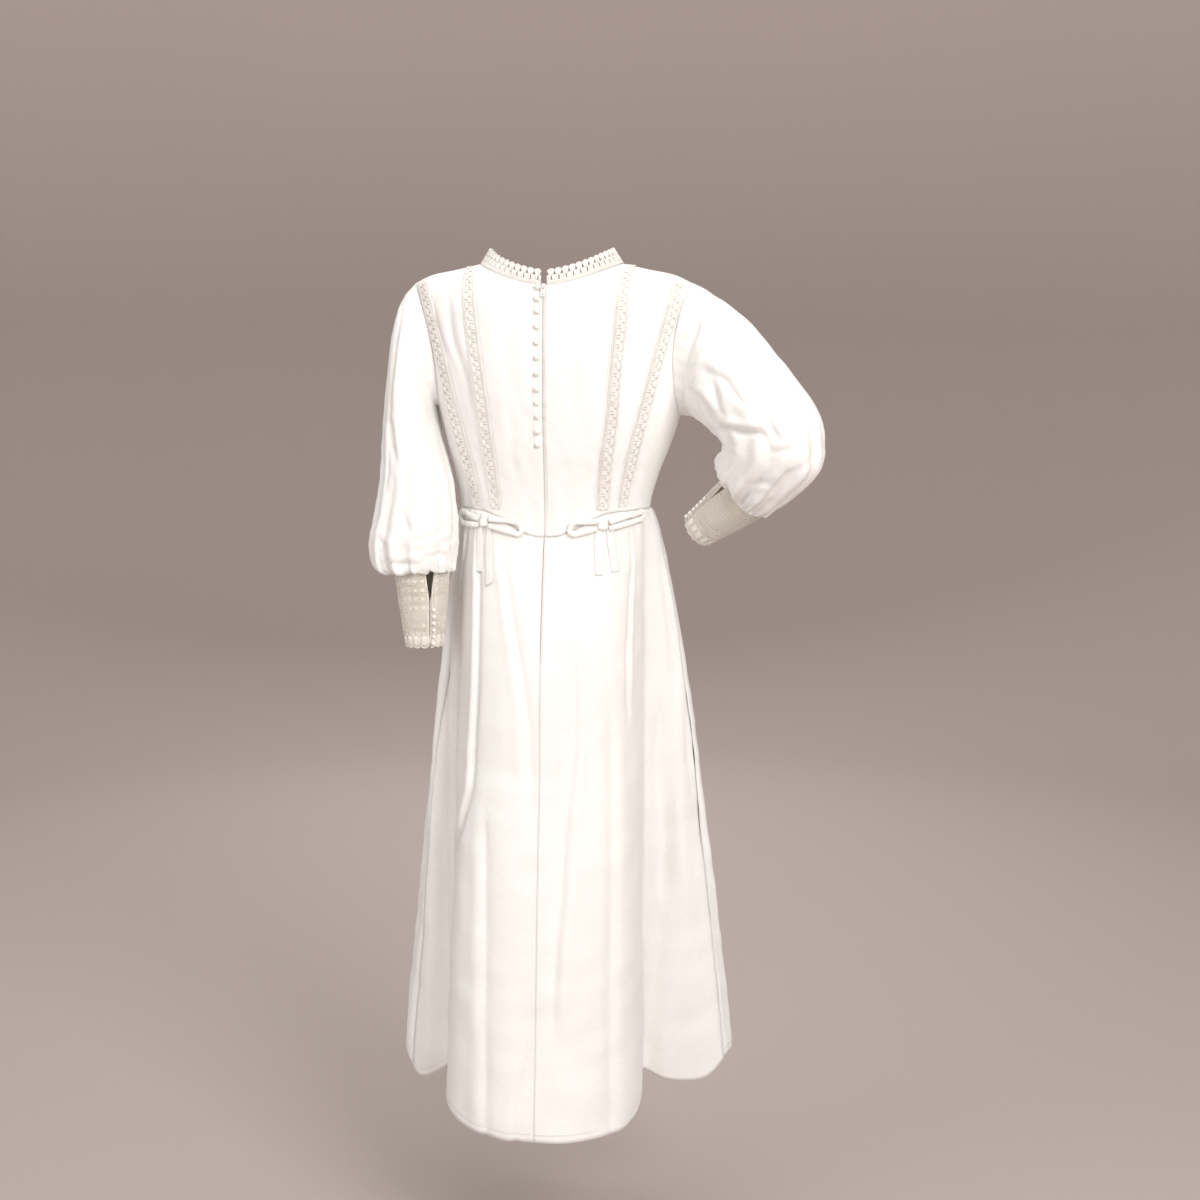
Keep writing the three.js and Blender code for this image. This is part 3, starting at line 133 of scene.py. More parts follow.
# Crochet strips on the back: side, scallops, then height, free edge and sewn edge
STRIPS = {
    "strip_outer_left": (1, 27, np.array([
        (-344, 108, 93), (-300, 120, 101), (-245, 136, 115), (-185, 150, 131),
        (-115, 166, 148), (-60, 181, 164), (-27, 195, 179)], float)),
    "strip_inner_left": (1, 29, np.array([
        (-348, 79, 65), (-285, 88, 70), (-236, 95, 75), (-185, 101, 81),
        (-118, 109, 90), (-50, 117, 99), (-5, 122, 106)], float)),
    "strip_inner_right": (-1, 29, np.array([
        (-348, 91, 73), (-284, 97, 78), (-217, 106, 88), (-151, 111, 94),
        (-85, 118, 99), (-29, 120, 103), (-3, 121, 106)], float)),
    "strip_outer_right": (-1, 27, np.array([
        (-344, 116, 103), (-315, 121, 107), (-250, 138, 121), (-191, 154, 137),
        (-133, 168, 152), (-88, 182, 163), (-57, 188, 170), (-27, 192, 175)], float)),
}
STRIP_BREADTH, STRIP_LOW, STRIP_MIDDLE = 14.5, 3.6, 8.6
COLLAR_LOW, COLLAR_MIDDLE = 5.2, 12.2

BUTTON_RADIUS, BUTTON_FLAT, BUTTON_X, BUTTON_LIFT = 4, 0.8, 7, 0.35
BUTTON_HEIGHTS = (-35, -50, -67, -88, -110, -131, -153, -175, -194, -213, -234, -253)

# Bows: knot, then loops (toward, reach, drop, radius) and tails (slant, length, shift, cut)
BOWS = {
    "left": ((88, -368), {"outer": (1, 31, -6, 8), "inner": (-1, 48, 8, 8.5)},
             {"outer": (1, 70, 7, 0.1), "inner": (-2, 86, -7.4, 0.5)}),
    "right": ((-83, -370), {"outer": (-1, 43, -13, 5.2), "inner": (1, 38, 5, 9.5)},
              {"outer": (-9, 64, -9.5, 0.1), "inner": (-3, 68, 6, 0.1)}),
}
KNOT_WIDE, KNOT_TALL, KNOT_THICK = 15, 13, 6
TIE_WIDE, TIE_THICK, TAIL_WIDE, TAIL_THICK = 8, 4.4, 13, 1.8
TIE_LAYER, TIE_LIFT, TIE_ROOT, TIE_GAP, TIE_FEEL, TIE_PRESSED = 3.2, 0.6, 4.5, 0.8, 7, 10
TIE_SIDES = 12

# Folds of the skirt: width, depth, then share of the length and degrees from the centre back
SKIRT_FOLDS = (
    (9, 9, ((.127, 90), (.229, 90), (.327, 89), (.434, 87.2), (.559, 85.5), (.684, 84.3),
        (.96, 80.5))),
    (7, 5, ((.05, 58), (.088, 61.4), (.16, 71), (.26, 80), (.36, 81), (.45, 80), (.6, 78))),
    (8, 5, ((.06, 41), (.102, 39.7), (.195, 36), (.28, 34.4), (.367, 34.8), (.452, 35.2),
        (.53, 44), (.63, 66))),
    (9, 3.5, ((.06, 20), (.103, 16.7), (.182, 11), (.244, 7), (.315, 4.4), (.395, 3.4),
        (.454, 3.2))),
    (9, 4, ((.2, -15), (.29, -15.5), (.362, -14.5), (.438, -12.3), (.497, -10.7), (.595, -9.7),
        (.67, -7.8), (.78, -6.8))),
    (7, 3.5, ((.1, -54), (.146, -50.7), (.236, -47.1), (.3, -46))),
    (9, 8, ((.34, -82), (.42, -80.7), (.547, -80.9), (.675, -80.5), (.729, -79.6), (.856, -78),
        (.948, -76.4), (1, -75.6))),
    (6, 4, ((.12, -86), (.193, -86.8), (.274, -86.3), (.419, -84.1), (.503, -82.5), (.632, -81.5))),
    (6, 3.5, ((.386, -88), (.487, -89), (.589, -90), (.687, -91), (.797, -92), (.956, -93))),
    (8, 4, ((.58, 92), (.752, 94), (.866, 95), (.98, 96))),
    (7, 3.5, ((.86, 2.6), (.884, 3.6), (.942, 5.7), (1, 6.5))),
    (12, 3, ((.5, 25), (.7, 22), (.9, 20), (1, 19))),
    (12, 3, ((.35, -34), (.55, -33), (.8, -31), (1, -30))),
    (14, 6, ((.08, 128), (.4, 124), (.7, 133), (1, 134))),
    (13, 5, ((.1, 153), (.4, 160), (.75, 164), (1, 166))),
    (14, 5, ((.1, -158), (.5, -164), (1, -168))),
    (13, 6, ((.08, -130), (.4, -133), (.8, -138), (1, -139))),
    (10, 4, ((.04, 110), (.2, 112), (.5, 109), (.7, 108))),
    (10, 4, ((.04, -112), (.25, -110), (.5, -112), (.7, -114))),
)

# Creases of the other cloth as lines seen from the back: width, depth, then x and z
BACK_CREASES = {
    1: (
        (4, 2.2, ((165, -50), (157, -84), (147, -115), (136, -143))),
        (5, 3, ((142, -28), (138, -59), (133, -95), (126, -121), (116, -144), (110, -168),
            (106, -200))),
        (4, 1.6, ((150, -22), (160, -30), (168, -44))),
        (6, 1.8, ((120, -300), (112, -325), (104, -347))),
        (7, 1.6, ((48, -200), (45, -260), (40, -320))),
    ),
    -1: (
        (3.5, 1.5, ((-143, -72), (-144, -108))),
        (7, 1.8, ((-138, -250), (-128, -300), (-124, -345))),
        (8, 1.3, ((-40, -60), (-47, -130), (-44, -220))),
        (6, 1.5, ((-62, -290), (-58, -340))),
        (5, 1.6, ((-180, -150), (-165, -190), (-160, -230))),
    ),
}
SLEEVE_CREASES = {
    1: (
        (5, 4, ((216, -52), (216, -81), (220, -117), (222, -139), (226, -175), (224, -218),
            (218, -249))),
        (6, 3.5, ((224, -225), (216, -261), (209, -282))),
        (4, 3, ((224, -258), (224, -298), (228, -323))),
        (5, 3, ((200, -349), (195, -364), (184, -382))),
        (5, 3.5, ((235, -389), (227, -399), (232, -413))),
        (4, 2, ((145, -298), (153, -317))),
        (4, 2.2, ((142, -373), (158, -385), (180, -390))),
        (4, 2.2, ((136, -388), (142, -400))),
        (4, 2.5, ((170, -415), (149, -410), (138, -414))),
        (4, 4, ((219, -422), (199, -424), (186, -420), (178, -428))),
    ),
    -1: (
        (4, 3, ((-218, -74), (-213, -95), (-203, -128))),
        (4, 2.5, ((-256, -88), (-238, -96), (-223, -108))),
        (4, 2.5, ((-236, -106), (-219, -121), (-208, -136))),
        (6, 3, ((-226, -148), (-252, -157), (-271, -165))),
        (6, 4, ((-236, -153), (-244, -176), (-248, -195), (-258, -213))),
        (6, 3.5, ((-249, -154), (-266, -173), (-285, -194))),
        (4, 4, ((-203, -178), (-212, -183), (-216, -192), (-222, -209), (-226, -218))),
        (5, 4, ((-204, -175), (-221, -184), (-232, -198), (-241, -217), (-248, -226))),
        (5, 8, ((-256, -227), (-270, -227), (-286, -229), (-308, -229), (-316, -238))),
        (5, 3.5, ((-317, -213), (-329, -230), (-335, -242))),
        (5, 3, ((-358, -236), (-350, -250))),
        (5, 4, ((-380, -260), (-350, -292), (-327, -308), (-307, -315))),
        (4, 3, ((-362, -275), (-342, -290), (-324, -302))),
        (4, 3, ((-327, -300), (-308, -298), (-296, -305))),
        (5, 3, ((-323, -257), (-336, -253), (-351, -251), (-357, -242))),
    ),
}


def mix(a, b, f):
    """The value at share f of the way from a to b."""
    return a + (b - a) * f


def unit(v):
    """Vectors divided by their lengths."""
    return v / np.maximum(np.linalg.norm(v, axis=-1, keepdims=True), 1e-9)


def ease(f):
    """A smooth step from 0 to 1: f squared times 3 less 2 f."""
    f = np.clip(f, 0, 1)
    return f * f * (3 - 2 * f)


def running(points):
    """Length along each line of points, from 0 at its first point."""
    spans = np.linalg.norm(np.diff(points, axis=-2), axis=-1)
    return np.concatenate([np.zeros_like(spans[..., :1]), np.cumsum(spans, -1)], -1)


def signed_power(v, power):
    """The power of a value's size, with the value's sign."""
    return np.sign(v) * np.abs(v) ** power


def along(table, key, by=0):
    """A smooth curve through one column against another: on each span a cubic whose end slopes
    are the slopes between the neighbours on either side."""
    at, to = table[:, by], table[:, key]
    last = len(at) - 1
    index = np.arange(last + 1)
    lower, upper = np.maximum(index - 1, 0), np.minimum(index + 1, last)
    slopes = (to[upper] - to[lower]) / (at[upper] - at[lower])

    def curve(value):
        inside = np.clip(value, at[0], at[last])
        i = np.clip(np.searchsorted(at, inside, side="right") - 1, 0, last - 1)
        span = at[i + 1] - at[i]
        f = (inside - at[i]) / span
        g = 1 - f
        ends = to[i] * g * g * (1 + 2 * f) + to[i + 1] * f * f * (3 - 2 * f)
        return ends + span * f * g * (slopes[i] * g - slopes[i + 1] * f)

    return curve


def smooth_rows(keys, steps):
    """Rows between key rows, by Catmull-Rom cubics through the keys along the first axis."""
    last = len(keys) - 1
    f = np.linspace(0, last, steps)
    i = np.clip(f.astype(int), 0, last - 1)
    f = (f - i).reshape((-1,) + (1,) * (keys.ndim - 1))
    before, after = keys[np.maximum(i - 1, 0)], keys[np.minimum(i + 2, last)]
    start, end = keys[i], keys[i + 1]
    return 0.5 * (2 * start + (end - before) * f
                  + (2 * before - 5 * start + 4 * end - after) * f ** 2
                  + (3 * start - before - 3 * end + after) * f ** 3)


half_of = {1: along(BODY, 1), -1: along(BODY, 2)}
depth_of = {"back": along(BODY, 3), "front": along(BODY, 4)}
shoulder_at = along(SHOULDER, 1)
hem_radius, hem_height = along(HEM, 1), along(HEM, 2)


# Relief of the cloth

def crease(d, width, depth, sharp=0.0):
    """Height across a crease at distance d: a trough, with a softer ridge on one side. A sharp
    trough mixes in an exponential fall, which leaves a fold line in its middle."""
    trough = mix(np.exp(-((d / width) ** 2)), np.exp(-np.abs(d) / (0.7 * width)), sharp)
    ridge = np.exp(-(((d - 1.7 * width) / (1.4 * width)) ** 2))
    return depth * (0.45 * ridge - trough)


def crease_lines(x, z, lines):
    """Sum of creases along polylines in x and z: the signed distance to the nearest span of
    each line gives the height, which fades out past the line's ends."""
    total = np.zeros_like(x)
    for width, depth, points in lines:
        points = np.array(points, float)
        nearest = np.full_like(x, 1e9)
        signed = np.zeros_like(x)
        share = np.zeros_like(x)
        spans = len(points) - 1
        for k in range(spans):
            start, run = points[k], points[k + 1] - points[k]
            size = run @ run
            raw = ((x - start[0]) * run[0] + (z - start[1]) * run[1]) / size
            f = np.clip(raw, 0, 1)
            dx, dz = x - start[0] - f * run[0], z - start[1] - f * run[1]
            far = np.hypot(dx, dz)
            side = np.sign(dx * run[1] - dz * run[0])
            closer = far < nearest
            nearest = np.where(closer, far, nearest)
            signed = np.where(closer, far * side, signed)
            share = np.where(closer, (k + f) / spans, share)
        fade = np.sin(math.pi * np.clip(share, 0.02, 0.98)) ** 0.5
        total += crease(signed, width, 1.25 * depth, 0.35) * fade * (nearest < 5 * width)
    return total


def soft_noise(u, v, size, seed):
    """Smooth uneven height between -1 and 1: a sum of turned sine waves of about one size."""
    rng = np.random.default_rng(seed)
    total = np.zeros_like(u)
    waves = 7
    for _ in range(waves):
        turn, phase, scale = rng.uniform(0, 2 * math.pi, 2).tolist() + [rng.uniform(0.6, 1.7)]
        along_wave = u * math.cos(turn) + v * math.sin(turn)
        total += np.sin(2 * math.pi * scale * along_wave / size + phase)
    return total / waves * 1.6


def back_relief(x, z):
    """Folds of the bodice back at signed x: listed creases and a little unevenness."""
    side_share = np.clip(np.abs(x) / np.where(x >= 0, half_of[1](z), half_of[-1](z)), 0, 1)
    inside = ease((1 - side_share) / 0.12) * ease((shoulder_at(np.abs(x)) - z) / 25)
    lines = np.where(x >= 0, crease_lines(x, z, BACK_CREASES[1]),
                     crease_lines(x, z, BACK_CREASES[-1]))
    pull = 1.3 * soft_noise(x * 2.2, z, 120, 3) + 0.5 * soft_noise(x, z, 38, 4)
    waist = 1.2 * np.sin(x / 5.2 + 1.5 * np.sin(x / 17)) * np.exp(-np.clip(z + 345, 0, None) / 22)
    return (lines + pull + waist) * inside


def skirt_relief(angle, share, radius):
    """Folds of the skirt: each is a crease at its own angle down the length, with gathers under
    the waist seam and broad unevenness that grows toward the hem."""
    degrees = (np.degrees(angle) + 180) % 360 - 180
    total = np.zeros_like(share)
    for width, depth, points in SKIRT_FOLDS:
        points = np.array(points, float)
        middle = np.interp(share, points[:, 0], points[:, 1])
        gap = (degrees - middle + 180) % 360 - 180
        reach = (ease((share - points[0, 0] + 0.06) / 0.1)
                 * ease((points[-1, 0] + 0.07 - share) / 0.1))
        distance = np.radians(gap) * radius * np.sign(middle)
        total += crease(distance, width * (0.55 + 0.4 * share), 1.35 * depth, 0.6) * reach
    arc = angle * 140
    gather = np.sin(arc / 3.4 + 2.2 * np.sin(arc / 19)) * np.exp(-share / 0.035)
    gather += 0.9 * np.sin(arc / 9 + 1.4 * np.sin(arc / 31)) * np.exp(-share / 0.12)
    broad = 2.6 * share * soft_noise(arc * 1.6, share * 500, 210, 8)
    fine = (0.7 * soft_noise(arc, share * 700, 55, 9)
            + 0.9 * share * soft_noise(arc, share * 900, 70, 10))
    return total + 1.1 * gather * ease(share / 0.01) + (broad + fine) * ease(share / 0.05)


# Torso and skirt surfaces

def crown(x, z):
    """How the torso closes toward the shoulder line: a quarter circle over the crown's drop."""
    below = np.clip((shoulder_at(x) - z) / CROWN_DROP, 0, 1)
    return np.sqrt(1 - (1 - below) ** 2)


def torso_depth(side, face, x, z):
    """Depth of the torso at x and z: a superellipse across the width, times the crown."""
    across = np.clip(x / half_of[side](z), 0, 1)
    return depth_of[face](z) * (1 - across ** BOXINESS) ** (1 / BOXINESS) * crown(x, z)


def waist_height(angle, back):
    """Waist seam height, lowest at the centre back: a high power of the cosine."""
    dip = WAIST_DROP * np.abs(np.cos(angle)) ** WAIST_NARROWING
    return WAIST_SIDE - np.where(back, dip, 0)


def bodice_points(side, face, i, j):
    """Points of a bodice half at row i from the waist up and column j from the centre: heights
    run from the waist seam to the neck and shoulder, widths ease from the torso to the
    shoulder, and the armhole is let in by a power of a half sine."""
    half, underarm = half_of[side], UNDERARM[side]
    tip = float(shoulder_at(SHOULDER_TIP))
    low = (underarm - WAIST_SIDE) / (tip - WAIST_SIDE)
    upper = (1 - np.cos(math.pi * np.clip(i - ROWS_LOW, 0, ROWS_ARM) / ROWS_ARM)) / 2
    share = np.where(i <= ROWS_LOW, low * i / ROWS_LOW, mix(low, 1, upper))
    across = np.sin(math.pi / 2 * j / COLUMNS) ** (2 / BOXINESS)
    neck_share = math.sin(math.pi / 2 * NECK_COLUMN / COLUMNS) ** (2 / BOXINESS)
    in_neck = j <= NECK_COLUMN
    top_x = np.where(in_neck, NECK_HALF * across / neck_share,
                     mix(NECK_HALF, SHOULDER_TIP, (across - neck_share) / (1 - neck_share)))
    drop, bow = NECK[face]
    neck_z = drop * (np.clip(top_x / NECK_HALF, 0, 1) ** bow - 1)
    top_z = np.where(in_neck, neck_z, shoulder_at(top_x))
    angle = math.pi / 2 * j / COLUMNS
    z = mix(waist_height(angle, face == "back"), top_z, share)
    edge_z = mix(WAIST_SIDE, tip, share)
    eased = share * share * (3 - 2 * share)
    rise = np.clip((edge_z - underarm) / (tip - underarm), 0, 1)
    inset = ARMHOLE_INSET[face] * np.sin(math.pi * rise) ** ARMHOLE_ROUNDNESS
    let_in = half(edge_z) - inset - mix(half(edge_z), SHOULDER_TIP, eased)
    x = mix(across * half(z), top_x, eased) + let_in * across ** ARMHOLE_EASE
    x = np.maximum(x, SEAM / 2)
    y = np.maximum(torso_depth(side, face, x, z), SEAM / 2)
    facing = 1 if face == "back" else -1
    if face == "back":
        y = y + back_relief(side * x, z) * ease(y / 20)
    return np.stack([side * x, facing * y, z], -1)


def waist_point(angle):
    """The waist seam at an angle from the centre back: a superellipse of the torso's size."""
    back = np.cos(angle) >= 0
    z = waist_height(angle, back)
    half = np.where(np.sin(angle) >= 0, half_of[1](z), half_of[-1](z))
    depth = np.where(back, depth_of["back"](z), depth_of["front"](z))
    x = half * signed_power(np.sin(angle), 2 / BOXINESS)
    return x, depth * signed_power(np.cos(angle), 2 / BOXINESS), z


def skirt_form(angle, share):
    """The skirt without folds: from the waist seam to the hem's polar point by a power of the
    share, with fullness at the hips by a half sine."""
    degrees = (np.degrees(angle) + 180) % 360 - 180
    x, y, z = waist_point(angle)
    radius = hem_radius(degrees)
    spread = share ** (FALL_MEAN + FALL_LEAN * np.sin(angle))
    hip = HIP_FULLNESS * np.sin(math.pi * np.minimum(share / HIP_REACH, 1)) * np.cos(angle) ** 2
    return np.stack([
        mix(x, radius * np.sin(angle), spread),
        mix(y, radius * np.cos(angle), spread) + np.sign(np.cos(angle)) * hip,
        mix(z - SEAM, hem_height(degrees), share)], -1)


def skirt_points(angle, share):
    """The skirt with its folds, moved along the level direction out of the form."""
    form = skirt_form(angle, share)
    step = 0.01
    turn = skirt_form(angle + step, share) - skirt_form(angle - step, share)
    out = unit(np.stack([turn[..., 1], -turn[..., 0], 0 * share], -1))
    away = np.stack([np.sin(angle), np.cos(angle), 0 * share], -1)
    out = out * np.sign(np.sum(out * away, -1, keepdims=True))
    radius = np.hypot(form[..., 0], form[..., 1])
    return form + out * skirt_relief(angle, share, radius)[..., None]


def skirt_at(x, z):
    """Angle and share of the skirt's back at x and z, by halving the angle's range."""
    low, high = np.full_like(x, -math.pi / 2), np.full_like(x, math.pi / 2)
    for _ in range(40):
        angle = (low + high) / 2
        top = waist_point(angle)[2] - SEAM
        share = np.clip((top - z) / (top - hem_height(np.degrees(angle))), 0, 1)
        reached = skirt_form(angle, share)[..., 0] < x
        low, high = np.where(reached, angle, low), np.where(reached, high, angle)
    return angle, share


def cloth_depth(x, z):
    """How far back the cloth of the bodice or the skirt lies at x and z."""
    angle, share = skirt_at(x, z)
    reach = np.abs(x)
    body = np.where(x >= 0, torso_depth(1, "back", reach, z), torso_depth(-1, "back", reach, z))
    body = body + back_relief(x, z) * ease(body / 20)
    return np.where(share > 0, skirt_points(angle, share)[..., 1], body)


def cloth_seat(x, z, lift, feel=1.0):
    """Points over the cloth at x and z, and the directions out of it, from slopes felt nearby."""
    slope_x = (cloth_depth(x + feel, z) - cloth_depth(x - feel, z)) / (2 * feel)
    slope_z = (cloth_depth(x, z + feel) - cloth_depth(x, z - feel)) / (2 * feel)
    normal = unit(np.stack([-slope_x, np.ones_like(x), -slope_z], -1))
    point = np.stack([x, cloth_depth(x, z), z], -1)
    return point + normal * np.asarray(lift)[..., None], normal


# Meshes

class Stock:
    """Points, faces and corner coordinates of one piece, gathered from several shapes."""

    def __init__(self):
        self.points, self.faces, self.coordinates, self.count = [], [], [], 0

    def put(self, points, faces, coordinates):
        """Adds points of any shape, blocks of faces and their corners' coordinates."""
        points = points.reshape(-1, 3)
        self.faces += [block + self.count for block in faces]
        self.coordinates += [block.reshape(-1, 2) for block in coordinates]
        self.points.append(points)
        self.count += len(points)
        return self

    def make(self, name, finish, slot, nodes=(), body="dress"):
        """The piece's object in metres, riding on its body and standing for the named nodes."""
        mesh = bpy.data.meshes.new(name)
        faces = [face for block in self.faces for face in block.tolist()]
        mesh.from_pydata((np.concatenate(self.points) * MM).tolist(), [], faces)
        layer = mesh.uv_layers.new(name="lengths")
        layer.data.foreach_set("uv", (np.concatenate(self.coordinates) * MM).ravel())
        mesh.polygons.foreach_set("use_smooth", np.ones(len(mesh.polygons), bool))
        mesh.materials.append(finish)
        mesh.update()
        piece = bpy.data.objects.new(name, mesh)
        bpy.context.scene.collection.objects.link(piece)
        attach(piece, body)
        if nodes:
            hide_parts(*nodes)
        return piece


def grid_normals(points, closed):
    """Cross product of the differences down and across a grid."""
    if closed:
        across = np.roll(points, -1, 1) - np.roll(points, 1, 1)
    else:
        across = np.gradient(points, axis=1)
    return unit(np.cross(np.gradient(points, axis=0), across))


def shell(outer, thick, away, closed=False):
    """A closed sheet between a grid and the same grid moved in along its normals. away is a grid
    of directions that point out of the garment. Coordinates are lengths along the cloth."""
    rows, columns = outer.shape[:2]
    normals = grid_normals(outer, closed)
    sign = 1 if np.sum(normals * away) > 0 else -1
    inner = outer - normals * sign * thick
    spans = columns if closed else columns - 1
    i, j = np.mgrid[0:rows - 1, 0:spans]
    cells = np.stack([np.stack([i + a, j + b], -1) for a, b in ((0, 0), (1, 0), (1, 1), (0, 1))], 2)
    cells = cells.reshape(-1, 4, 2)
    number = cells[..., 0] * columns + cells[..., 1] % columns
    skin = rows * columns
    faces, corners = [number, number[:, ::-1] + skin], [cells, cells[:, ::-1]]
    rims = []
    k = np.arange(spans)
    rims.append((np.stack([0 * k, k], -1), np.stack([0 * k, k + 1], -1)))
    rims.append((np.stack([0 * k + rows - 1, k + 1], -1), np.stack([0 * k + rows - 1, k], -1)))
    if not closed:
        k = np.arange(rows - 1)
        rims.append((np.stack([k + 1, 0 * k], -1), np.stack([k, 0 * k], -1)))
        rims.append((np.stack([k, 0 * k + spans], -1), np.stack([k + 1, 0 * k + spans], -1)))
    for a, b in rims:
        numbers = [p[:, 0] * columns + p[:, 1] % columns for p in (a, b)]
        faces.append(np.stack([numbers[0], numbers[1], numbers[1] + skin, numbers[0] + skin], -1))
        corners.append(np.stack([a, b, b, a], 1))
    if sign < 0:
        faces = [block[:, ::-1] for block in faces]
        corners = [block[:, ::-1] for block in corners]
    wrapped = np.concatenate([outer, outer[:, :1]], 1) if closed else outer
    u = running(wrapped)
    tall = np.linalg.norm(np.diff(outer, axis=0), axis=-1).mean(1)
    v = np.concatenate([[0], np.cumsum(tall)])
    coordinates = [np.stack([u[c[..., 0], c[..., 1]], v[c[..., 0]]], -1) for c in corners]
    return np.stack([outer, inner]), faces, coordinates


def rods(paths, normals, wide, thick, sides=6, power=1.0, cuts=0):
    """Closed rods along many paths at once: a ring round each point of each path, from the side
    direction and the surface's normal, as a circle or, below power 1, a squarer section."""
    count, steps = paths.shape[:2]
    run = unit(np.gradient(paths, axis=1))
    side = unit(np.cross(run, normals))
    up = np.cross(side, run)
    angle = 2 * math.pi * (np.arange(sides) + 0.5) / sides
    a, b = signed_power(np.cos(angle), power), signed_power(np.sin(angle), power)
    wide = np.broadcast_to(wide, (count, steps))[..., None, None]
    thick = np.broadcast_to(thick, (count, steps))[..., None, None]
    ring = (paths[:, :, None] + side[:, :, None] * a[:, None] * wide
            + up[:, :, None] * b[:, None] * thick)
    if cuts:
        ring[:, -1] += run[:, -1, None] * (a[:, None] * wide[:, -1]) * cuts
    m, n, k = np.mgrid[0:count, 0:steps - 1, 0:sides]
    base = m * steps * sides
    nxt = (k + 1) % sides
    quads = np.stack([base + n * sides + k, base + (n + 1) * sides + k,
                      base + (n + 1) * sides + nxt, base + n * sides + nxt], -1).reshape(-1, 4)
    first = np.arange(count)[:, None] * steps * sides
    caps = [first + np.arange(sides), first + (steps - 1) * sides + np.arange(sides)[::-1]]
    length = running(paths)
    girth = 2 * math.pi * float(np.mean(wide)) / sides
    uv = np.stack([np.stack([length[m, n + a], (k + b) * girth], -1)
                   for a, b in ((0, 0), (1, 0), (1, 1), (0, 1))], 3)
    flat = np.zeros((count, sides, 2))
    return ring, [quads, *caps], [uv.reshape(-1, 4, 2), flat, flat]


# Materials

class Value:
    """A socket in a material's node tree; arithmetic on it adds Math nodes."""

    def __init__(self, paint, socket):
        self.paint, self.socket = paint, socket

    def math(self, operation, a, b=None):
        """A Math node on one or two values."""
        inputs = {0: a} if b is None else {0: a, 1: b}
        return self.paint.node("ShaderNodeMath", {"operation": operation}, inputs)[0]

    def __add__(self, other):
        return self.math("ADD", self, other)

    def __mul__(self, other):
        return self.math("MULTIPLY", self, other)

    __radd__, __rmul__ = __add__, __mul__

    def sine(self):
        """The sine of the value."""
        return self.math("SINE", self)


class Paint:
    """One material's node tree, round its principled shader."""

    def __init__(self, name, **constants):
        self.material = bpy.data.materials.new(name)
        self.material.use_nodes = True
        self.tree = self.material.node_tree
        self.shader = self.tree.nodes["Principled BSDF"]
        for socket, value in constants.items():
            self.shader.inputs[socket.replace("_", " ")].default_value = value

    def node(self, kind, settings, inputs):
        """A node of any type, with its settings made first; returns its output values."""
        made = self.tree.nodes.new(kind)
        for key, value in settings.items():
            if key == "stops":
                ramp = made.color_ramp
                while len(ramp.elements) < len(value):
                    ramp.elements.new(1)
                for element, (place, colour) in zip(ramp.elements, value):
                    element.position, element.color = place, (*colour, 1)
            else:
                setattr(made, key, value)
        for key, value in inputs.items():
            self.feed(made.inputs[key], value)
        return [Value(self, socket) for socket in made.outputs]

    def feed(self, socket, value):
        """Links a value, or sets a number or colour."""
        if isinstance(value, Value):
            self.tree.links.new(value.socket, socket)
        else:
            socket.default_value = value

    def lengths(self, stretch=(1, 1, 1)):
        """Coordinates along the cloth in metres, stretched."""
        place = self.node("ShaderNodeUVMap", {"uv_map": "lengths"}, {})[0]
        return self.node("ShaderNodeMapping", {}, {"Vector": place, "Scale": stretch})[0]

    def place(self, stretch=(1, 1, 1)):
        """Object coordinates in metres, stretched."""
        place = self.node("ShaderNodeTexCoord", {}, {})[3]
        return self.node("ShaderNodeMapping", {}, {"Vector": place, "Scale": stretch})[0]

    def noise(self, vector, scale, detail=2.0, rough=0.5):
        """Soft noise between 0 and 1."""
        return self.node("ShaderNodeTexNoise", {}, {
            "Vector": vector, "Scale": scale, "Detail": detail, "Roughness": rough})[0]

    def split(self, vector):
        """The X, Y and Z values of a vector."""
        return self.node("ShaderNodeSeparateXYZ", {}, {"Vector": vector})

    def ramp(self, value, stops):
        """A colour from a value, through stops of place and colour."""
        return self.node("ShaderNodeValToRGB", {"stops": stops}, {"Fac": value})[0]

    def finish(self, colour, rough, height, distance, strength=1.0):
        """Feeds the shader and gives the material."""
        bump = self.node("ShaderNodeBump", {}, {
            "Height": height, "Distance": distance, "Strength": strength})[0]
        self.feed(self.shader.inputs["Base Color"], colour)
        self.feed(self.shader.inputs["Roughness"], rough)
        self.feed(self.shader.inputs["Normal"], bump)
        return self.material


def woven_cloth(name, light, shade):
    """Plain weave with a crepe hand: threads 0.5 mm apart both ways, slubs and soft unevenness
    of tone; the nap is a constant sheen."""
    paint = Paint(name, Sheen_Weight=0.25, Sheen_Roughness=0.45, Specular_IOR_Level=0.25)
    flat = paint.lengths()
    u, v, _ = paint.split(flat)
    threads = 2 * math.pi / 0.0005
    weave = (u * threads).sine() * (v * threads).sine()
    slubs = paint.noise(paint.lengths((60, 900, 1)), 1.0, 3)
    crepe = paint.noise(flat, 420.0, 3, 0.6)
    tone = paint.noise(paint.place(), 9.0, 4) * 0.6 + paint.noise(flat, 160.0, 3) * 0.4
    colour = paint.ramp(tone + weave * 0.02, ((0.3, shade), (0.62, light)))
    rough = 0.72 + paint.noise(flat, 60.0) * 0.16
    return paint.finish(colour, rough, weave * 0.3 + slubs * 0.5 + crepe * 0.9, 0.00025, 0.7)


